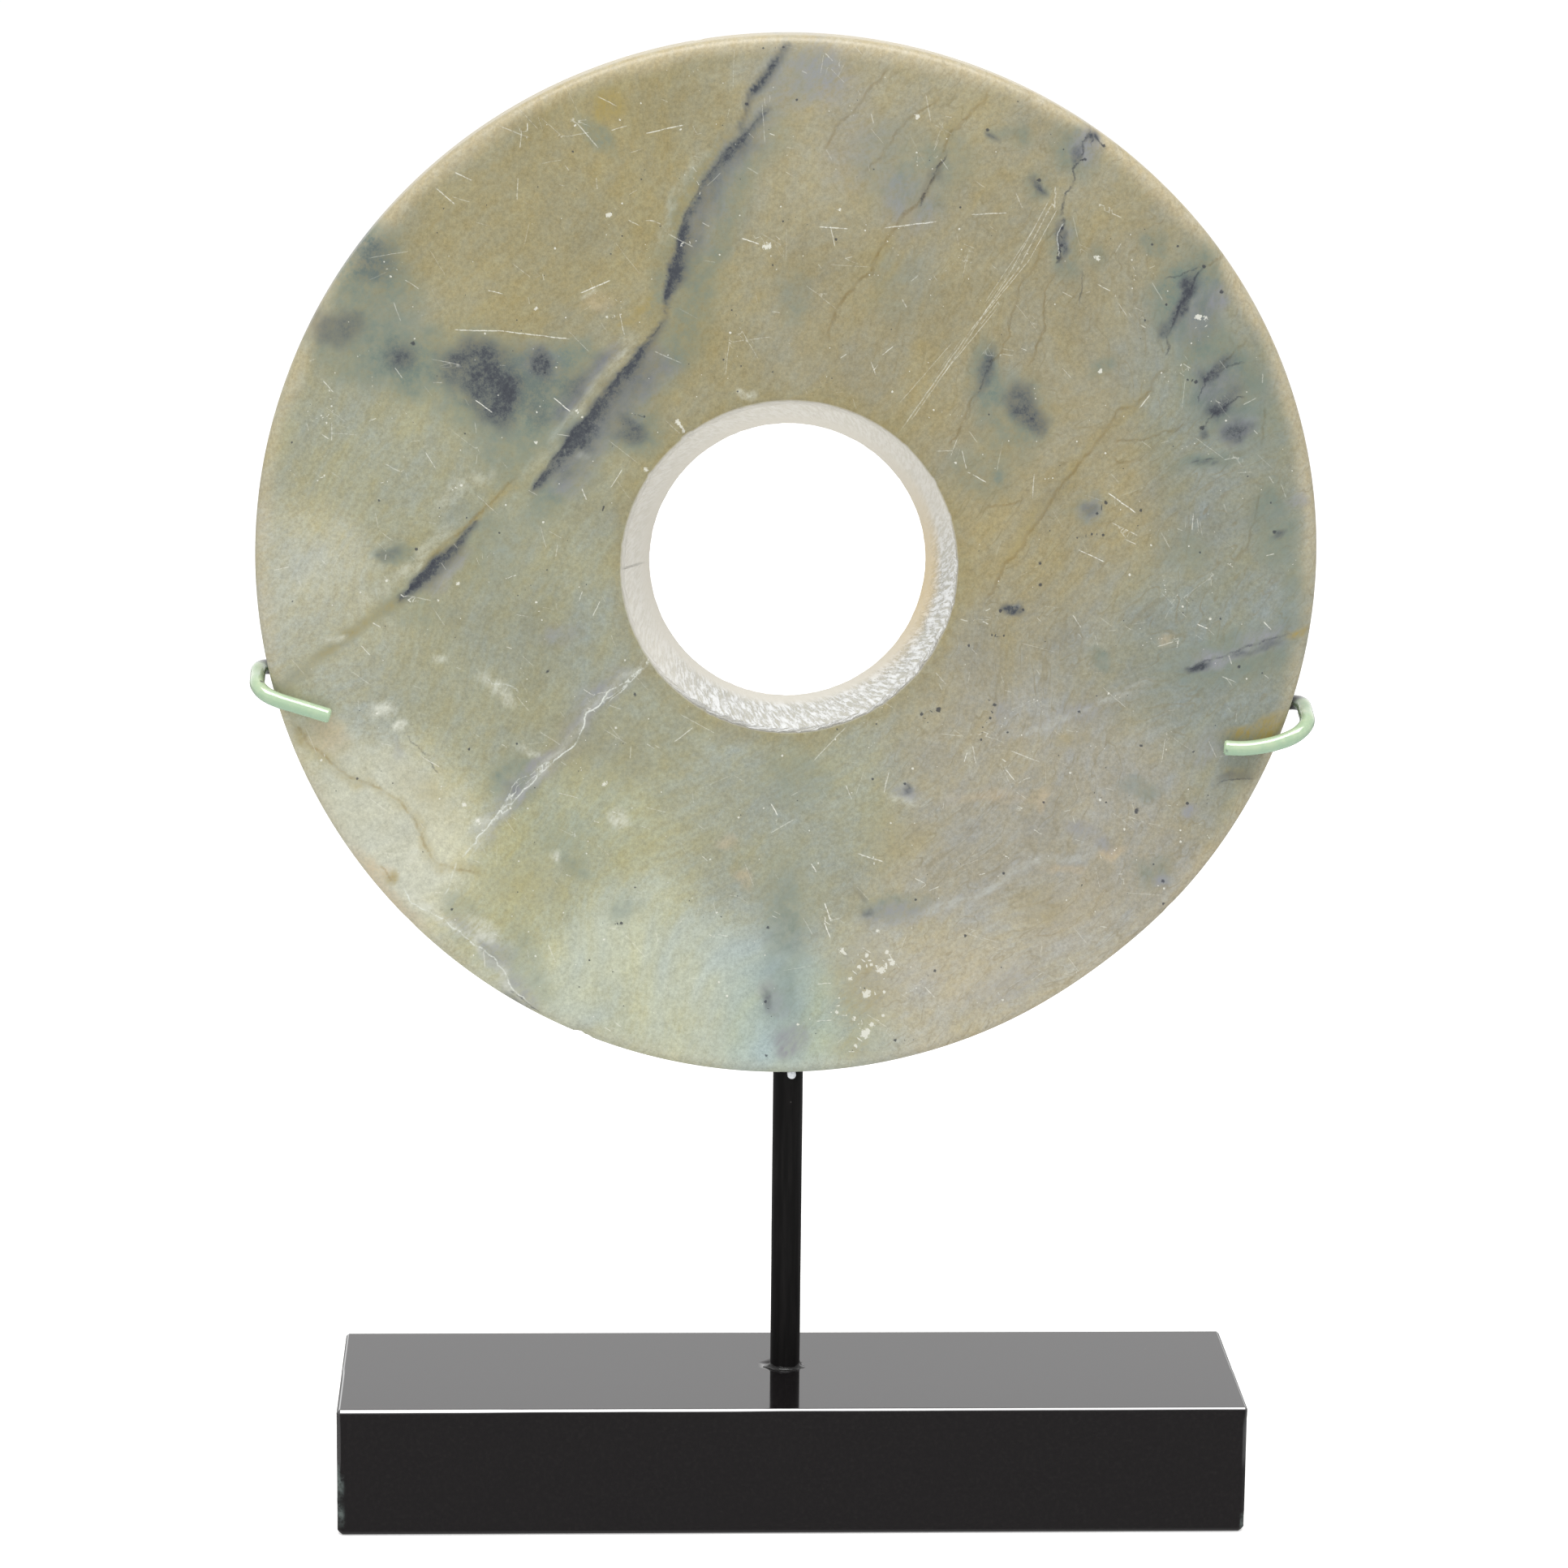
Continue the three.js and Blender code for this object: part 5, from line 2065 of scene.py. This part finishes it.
@dataclass
class Post:
    """The round steel post and the epoxy that beds it."""

    sides: int = 72
    chamfer: float = 0.5
    height_step: float = 1.6
    bead_spread: float = 1.0
    bead_height: float = 1.1
    bead_sides: int = 96
    bead_lumps: Rows = ((188, 0.8, 0.3), (-14, 0.75, 0.28), (-95, 0.2, 0.5))
    bead_bury: float = 0.15  # how deep the bead's hidden faces lie in the post and in the block
    finish: BlackPaintFinish = field(default_factory=BlackPaintFinish)
    bead_finish: EpoxyFinish = field(default_factory=EpoxyFinish)

    def __post_init__(self) -> None:
        """Takes the post's box and the block's top from the frame."""
        low, high = in_mm(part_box("post"))
        self.x, self.y = (low.x + high.x) / 2, (low.y + high.y) / 2
        self.radius = (high.x - low.x) / 2
        self.foot, self.top = low.z, high.z
        self.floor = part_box("base_block")[1].z / MM

    def build(self) -> bpy.types.Object:
        """Makes the bar, which stands for the CAD node post.

        Returns:
            The piece.
        """
        steps = round((self.top - self.foot) / self.height_step)
        low, run = self.foot + self.chamfer, self.top - self.foot - 2 * self.chamfer
        side = [(self.radius, low + run * i / steps) for i in range(steps + 1)]
        narrow = self.radius - self.chamfer
        shell = lathe([(narrow, self.foot), *side, (narrow, self.top)], self.sides, self.x, self.y)
        points = np.vstack(shell.points)
        angle = np.arctan2(points[:, 1] - self.y, points[:, 0] - self.x)
        coat = 0.02 * (noise(angle * self.radius, points[:, 2] * 0.12, 1.4, 15, 2) - 1)
        points[:, 0] += coat * np.cos(angle)
        points[:, 1] += coat * np.sin(angle)
        shell.points = [points]
        bar = shell.build("post_bar", self.finish.material())
        place_piece(bar, "black_paint", "post")
        return bar

    def bead(self) -> bpy.types.Object:
        """Makes the epoxy bead round the foot, with a lump at each side.

        Returns:
            The bead, which stands for no CAD node.
        """
        rows = 10
        angle = round_steps(self.bead_sides)
        lumps = sum(height * np.exp(-((turn_from(angle, turn) / width) ** 2))
                    for turn, height, width in self.bead_lumps)
        spread = self.bead_spread * (0.55 + 0.22 * noise(angle * 3, angle * 0, 1.1, 4, 2) + lumps)
        height = self.bead_height * (0.55 + 0.25 * noise(angle * 3, angle * 0, 1.3, 8, 2) + 0.5 * lumps)
        rings = []
        for i in range(rows + 1):
            t = i / rows * math.pi / 2
            reach = self.radius + 0.02 + spread * (1 - math.sin(t)) ** 1.3
            level = self.floor + 0.02 + height * (1 - math.cos(t)) ** 0.8
            rings.append(self._circle(angle, reach, level))
        inside, under = self.radius - self.bead_bury, self.floor - self.bead_bury
        rings.append(self._circle(angle, inside, self.floor + height))
        rings.append(self._circle(angle, inside, under))
        rings.append(self._circle(angle, self.radius + spread * 0.9, under))
        shell = Shell()
        shell.skin(rings, closed=True)
        bead = shell.build("epoxy_bead", self.bead_finish.material())
        place_piece(bead, "black_paint")
        return bead

    def _circle(self, angle: Array, reach: Array | float, level: Array | float) -> Array:
        """Points round the post's axis."""
        return columns(self.x + reach * np.cos(angle), self.y + reach * np.sin(angle), level)


class Side(Enum):
    """Which edge of the disc a prong holds."""

    LEFT = -1
    RIGHT = 1


@dataclass
class Prong:
    """A wire brazed to the post, hooked round the disc's edge and along its face."""

    side: Side
    reach: float
    height: float
    drop: float
    slope: float
    curl: float
    finger: float
    nicks: tuple[tuple[float, float, float], ...]
    radius: float = 1.5875
    joint_height: float = 145.0
    back_bend: float = 4.2
    front_bend: float = 5.0
    sides: int = 28
    step: float = 0.45
    braze: float = 0.8
    tip_ease: float = 0.28

    def __post_init__(self) -> None:
        """Takes the depths that the wire runs at from the frame."""
        low, high = in_mm(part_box(self.node))
        self.behind, self.ahead = high.y - self.radius, low.y + self.radius
        post_low, post_high = in_mm(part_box("post"))
        self.post = (post_low + post_high) / 2
        self.post_radius = (post_high.x - post_low.x) / 2

    @property
    def node(self) -> str:
        """The prong's CAD node."""
        return f"{self.side.name.lower()}_prong"

    def centre_line(self) -> Array:
        """The wire's middle, from the post to the tip of the finger, in close steps.

        Returns:
            Rows of places, in mm.
        """
        sign, quarter = self.side.value, math.pi / 2
        depth = self.behind - self.ahead
        back_arc, front_arc = quarter * self.back_bend, quarter * self.front_bend
        straight = depth - self.back_bend - self.front_bend
        whole = back_arc + straight + front_arc
        rise = math.atan2(self.height + self.drop / 2 - self.joint_height,
                          self.reach - self.back_bend + sign * self.post.x)

        def place(inward: float, angle: float, y: float, run: float) -> tuple[float, float, float]:
            """A place on the wire.

            Args:
                inward: How far in from the wire's outermost point.
                angle: The slope of the way in, in radians.
                y: How far back.
                run: The length of wire from its start, for the droop.

            Returns:
                Across, back and up.
            """
            t = min(max(run / whole, 0), 1)
            sink = self.drop * (0.5 - t * t * (3 - 2 * t))
            return (sign * (self.reach - inward * math.cos(angle)), y,
                    self.height - inward * math.sin(angle) + sink)

        start = place(self.back_bend, rise, self.behind, 0)
        run = abs(start[0] - self.post.x)
        joint = (self.post.x, self.behind, start[2] - run * math.tan(rise))
        points = [tuple(np.array(joint) + (np.array(start) - np.array(joint)) * t)
                  for t in np.linspace(0, 1, 10)[:-1]]
        for a in np.linspace(0, quarter, 7):
            inward = self.back_bend * (1 - math.sin(a))
            y = self.behind - self.back_bend * (1 - math.cos(a))
            points.append(place(inward, rise, y, self.back_bend * a))
        points.append(place(0, 0, (self.behind + self.ahead) / 2, whole / 2))
        slope = math.radians(self.slope)
        for a in np.linspace(0, quarter, 7):
            inward = self.front_bend * (1 - math.cos(a))
            y = self.ahead + self.front_bend * (1 - math.sin(a))
            points.append(place(inward, slope, y, back_arc + straight + self.front_bend * a))
        tip = np.array(points[-1])
        steps = 6
        for i in range(steps):
            angle = slope + math.radians(self.curl) * (i + 0.5) / steps
            tip = tip - np.array([sign * math.cos(angle), 0, math.sin(angle)]) * self.finger / steps
            points.append(tuple(tip))
        return self._evenly(np.array(points))

    def _evenly(self, points: Array) -> Array:
        """A smooth run through the points at even steps.

        Args:
            points: The points, in mm.

        Returns:
            Rows at even steps.
        """
        ends = np.vstack([2 * points[0] - points[1], points, 2 * points[-1] - points[-2]])
        rows = []
        for a, b, c, d in zip(ends, ends[1:], ends[2:], ends[3:]):
            t = np.linspace(0, 1, 40, endpoint=False)[:, None]
            gap = [math.sqrt(float(np.linalg.norm(v - u))) for u, v in ((a, b), (b, c), (c, d))]
            m1 = (c - b) + gap[1] * ((b - a) / gap[0] - (c - a) / (gap[0] + gap[1]))
            m2 = (c - b) + gap[1] * ((d - c) / gap[2] - (d - b) / (gap[1] + gap[2]))
            rows.append((2 * t**3 - 3 * t**2 + 1) * b + (t**3 - 2 * t**2 + t) * m1
                        + (3 * t**2 - 2 * t**3) * c + (t**3 - t**2) * m2)
        dense = np.vstack([*rows, points[-1:]])
        gone = wire_length(dense)
        start = self.post_radius - 0.2
        even = np.linspace(start, gone[-1], round((gone[-1] - start) / self.step) + 1)
        return columns(*(np.interp(even, gone, column) for column in dense.T))

    def build(self, paint: bpy.types.Material) -> bpy.types.Object:
        """Sweeps the wire along its line, with a braze fillet at the post and a blunt tip.

        Args:
            paint: The prongs' shared paint.

        Returns:
            The wire, which stands for this prong's CAD node.
        """
        line = self.centre_line()
        tangents = np.gradient(line, axis=0)
        tangents /= np.linalg.norm(tangents, axis=1, keepdims=True)
        normal = np.cross(tangents[0], (0, 0, 1.0))
        normal /= np.linalg.norm(normal)
        rings, marks = [], []
        angle, gone = round_steps(self.sides), wire_length(line)
        for middle, tangent, run in zip(line, tangents, gone):
            normal = normal - tangent * float(normal @ tangent)
            normal /= np.linalg.norm(normal)
            other = np.cross(tangent, normal)
            left = gone[-1] - run
            coat = 0.03 * noise(angle * self.radius + 40, angle * 0 + run, 2.4, 23, 2)
            radius = self.radius - 0.03 + coat + self.braze * math.exp(-((run / 1.3) ** 2))
            radius = radius - max(0.0, self.tip_ease - left) * 0.9
            around = normal * np.cos(angle)[:, None] + other * np.sin(angle)[:, None]
            rings.append(middle + around * np.reshape(radius, (-1, 1)))
            marks.append(self._paint_marks(rings[-1], middle, left, angle))
        shell = Shell()
        shell.tube(rings, line[0], line[-1] + tangents[-1] * 0.04)
        marks += [np.array([[1.0, 0, 0]]), np.array([[0.0, 0, 0]])]
        wire = shell.build(f"{self.node}_wire", paint, {"wire": np.vstack(marks)})
        place_piece(wire, "green_paint", self.node)
        return wire

    def _paint_marks(self, ring: Array, middle: Array, left: float, angle: Array) -> Array:
        """How far behind, how far underneath and how chipped each point of a ring is.

        Args:
            ring: The ring's points, in mm.
            middle: The wire's middle there.
            left: The length of wire left to the tip, in mm.
            angle: Their directions round the wire.

        Returns:
            Rows of the three amounts.
        """
        depth = (ring[:, 1] - self.ahead) / (self.behind - self.ahead)
        back = np.clip((depth - 0.62) / 0.3, 0, 1)
        # how far underneath: this sets the painted shade on the wire's underside
        under = np.clip(0.5 - (ring[:, 2] - middle[2]) / self.radius * 0.7, 0, 1)
        chipped = np.zeros(len(ring))
        for place, turn, size in self.nicks:
            beside = turn_from(angle, turn) * self.radius
            chipped = np.maximum(chipped, ramp(np.hypot(beside, left - place), size, size * 0.5))
        return columns(back, under, chipped)


@dataclass
class RestPin:
    """The short sleeved pin that the disc's lowest edge stands on."""

    sides: int = 40
    ease: float = 0.3
    finish: SleeveFinish = field(default_factory=SleeveFinish)

    def build(self) -> bpy.types.Object:
        """Makes the pin, which stands for the CAD node rest_pin.

        Returns:
            The piece.
        """
        low, high = in_mm(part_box("rest_pin"))
        middle = (low + high) / 2
        radius, length = (high.x - low.x) / 2, high.y - low.y
        profile = [(radius * 0.45, 0.0)]
        profile += [(radius - self.ease * (1 - math.sin(a)), self.ease * (1 - math.cos(a)))
                    for a in np.linspace(0.2, math.pi / 2, 5)]
        profile += [(radius - 0.03 * (i % 2), self.ease + (length - self.ease) * i / 12)
                    for i in range(1, 13)]
        shell = lathe(profile, self.sides, 0.0, 0.0)
        turned = Matrix.Rotation(-math.pi / 2, 3, "X")
        points = np.vstack(shell.points) @ np.array(turned).T
        shell.points = [points + np.array([middle.x, low.y, middle.z])]
        pin = shell.build("rest_pin_sleeved", self.finish.material())
        place_piece(pin, "clear_sleeve", "rest_pin")
        return pin


# ---- The studio ----


@dataclass
class Studio:
    """A plain pale floor, soft light all round, a long overhead softbox, and the camera."""

    camera_place: tuple[float, float, float] = (-47.134, -1073.08, 392.662)
    yaw: float = 2.3919
    pitch: float = -12.4633
    roll: float = 0.6025
    lens: float = 121.58
    floor_size: float = 24.0
    floor_colour: str = "#EEEDEB"
    floor_glow: float = 0.4
    sky: float = 0.6
    back_sky: float = 0.65
    under_sky: float = 0.3
    box_size: tuple[float, float] = (1.7, 0.9)
    box_place: tuple[float, float, float] = (-0.05, -0.5, 1.52)
    box_power: float = 24.0

    def build(self) -> None:
        """Sets up the floor, the light and the camera."""
        self._floor()
        self._sky()
        self._softbox()
        self._camera()
        bpy.context.scene.view_settings.view_transform = "Standard"

    def _floor(self) -> None:
        """Lays the floor."""
        half = self.floor_size / 2
        mesh = bpy.data.meshes.new("floor")
        corners = [(-half, -half, 0), (half, -half, 0), (half, half, 0), (-half, half, 0)]
        mesh.from_pydata(corners, [], [(0, 1, 2, 3)])
        material, g = new_material("floor_pale")
        glow = {"Emission Color": (1, 1, 1, 1), "Emission Strength": self.floor_glow}
        g.surface({"Base Color": solid(self.floor_colour), "Roughness": 0.9, **glow})
        mesh.materials.append(material)
        floor = add_object("floor", mesh)
        floor.visible_glossy = False

    def _sky(self) -> None:
        """Lights the scene softly from all round, less so in what polished faces see below."""
        world = bpy.data.worlds.new("studio")
        world.use_nodes = True
        bpy.context.scene.world = world
        g = Graph(world.node_tree)
        way = g.node("ShaderNodeTexCoord", output="Generated")
        _, ahead, up = g.parts(way)
        above = g.step(up, -0.06, 0.04)
        behind = g.step(ahead, 0.3, 0.9) * above
        strength = above * (self.sky - self.under_sky) + behind * self.back_sky + self.under_sky
        light = g.node("ShaderNodeBackground", None, {"Color": (1, 1, 1, 1), "Strength": strength})
        g.node("ShaderNodeOutputWorld", None, {"Surface": light})

    def _softbox(self) -> None:
        """Hangs the softbox over the front of the stand."""
        lamp = bpy.data.lights.new("softbox", "AREA")
        lamp.shape, (lamp.size, lamp.size_y) = "RECTANGLE", self.box_size
        lamp.energy = self.box_power
        made = add_object("softbox", lamp)
        made.location = self.box_place
        aim = Vector((0, 0, 0.1)) - made.location
        made.rotation_euler = aim.to_track_quat("-Z", "Y").to_euler()

    def _camera(self) -> None:
        """Places the camera a little to the left, looking slightly down."""
        lens = bpy.data.cameras.new("camera")
        lens.lens, lens.sensor_width = self.lens, 36.0
        yaw, pitch, roll = (math.radians(a) for a in (self.yaw, self.pitch, self.roll))
        ahead = Vector((math.sin(yaw) * math.cos(pitch), math.cos(yaw) * math.cos(pitch), math.sin(pitch)))
        level = Vector((math.cos(yaw), -math.sin(yaw), 0))
        upright = level.cross(ahead)
        right = level * math.cos(roll) + upright * math.sin(roll)
        up = upright * math.cos(roll) - level * math.sin(roll)
        turned = Matrix((right, up, -ahead)).transposed().to_4x4()
        camera = add_object("camera", lens)
        camera.matrix_world = Matrix.Translation(Vector(self.camera_place) * MM) @ turned
        bpy.context.scene.camera = camera


# ---- The object ----

PRONGS = (
    Prong(Side.LEFT, reach=110.7, height=178.7, drop=3.7, slope=17.5, curl=0.0, finger=10.8,
          nicks=((16.5, 250, 0.5), (14.2, 235, 0.35), (3.5, 70, 0.3), (1.2, 80, 0.35), (19, 160, 0.5))),
    Prong(Side.RIGHT, reach=105.3, height=171.5, drop=3.9, slope=22.0, curl=-29.0, finger=13.3,
          nicks=((13.2, 90, 0.4), (0.6, 200, 0.3))),
)


def main() -> None:
    """Builds the object piece by piece, then the studio round it."""
    logging.basicConfig(level=logging.INFO, format="%(message)s")
    Studio().build()
    BaseBlock().build()
    post = Post()
    post.build()
    post.bead()
    JadeDisc().build()
    paint = GreenPaintFinish().material()
    for prong in PRONGS:
        prong.build(paint)
    RestPin().build()


if __name__ == "__main__":
    main()
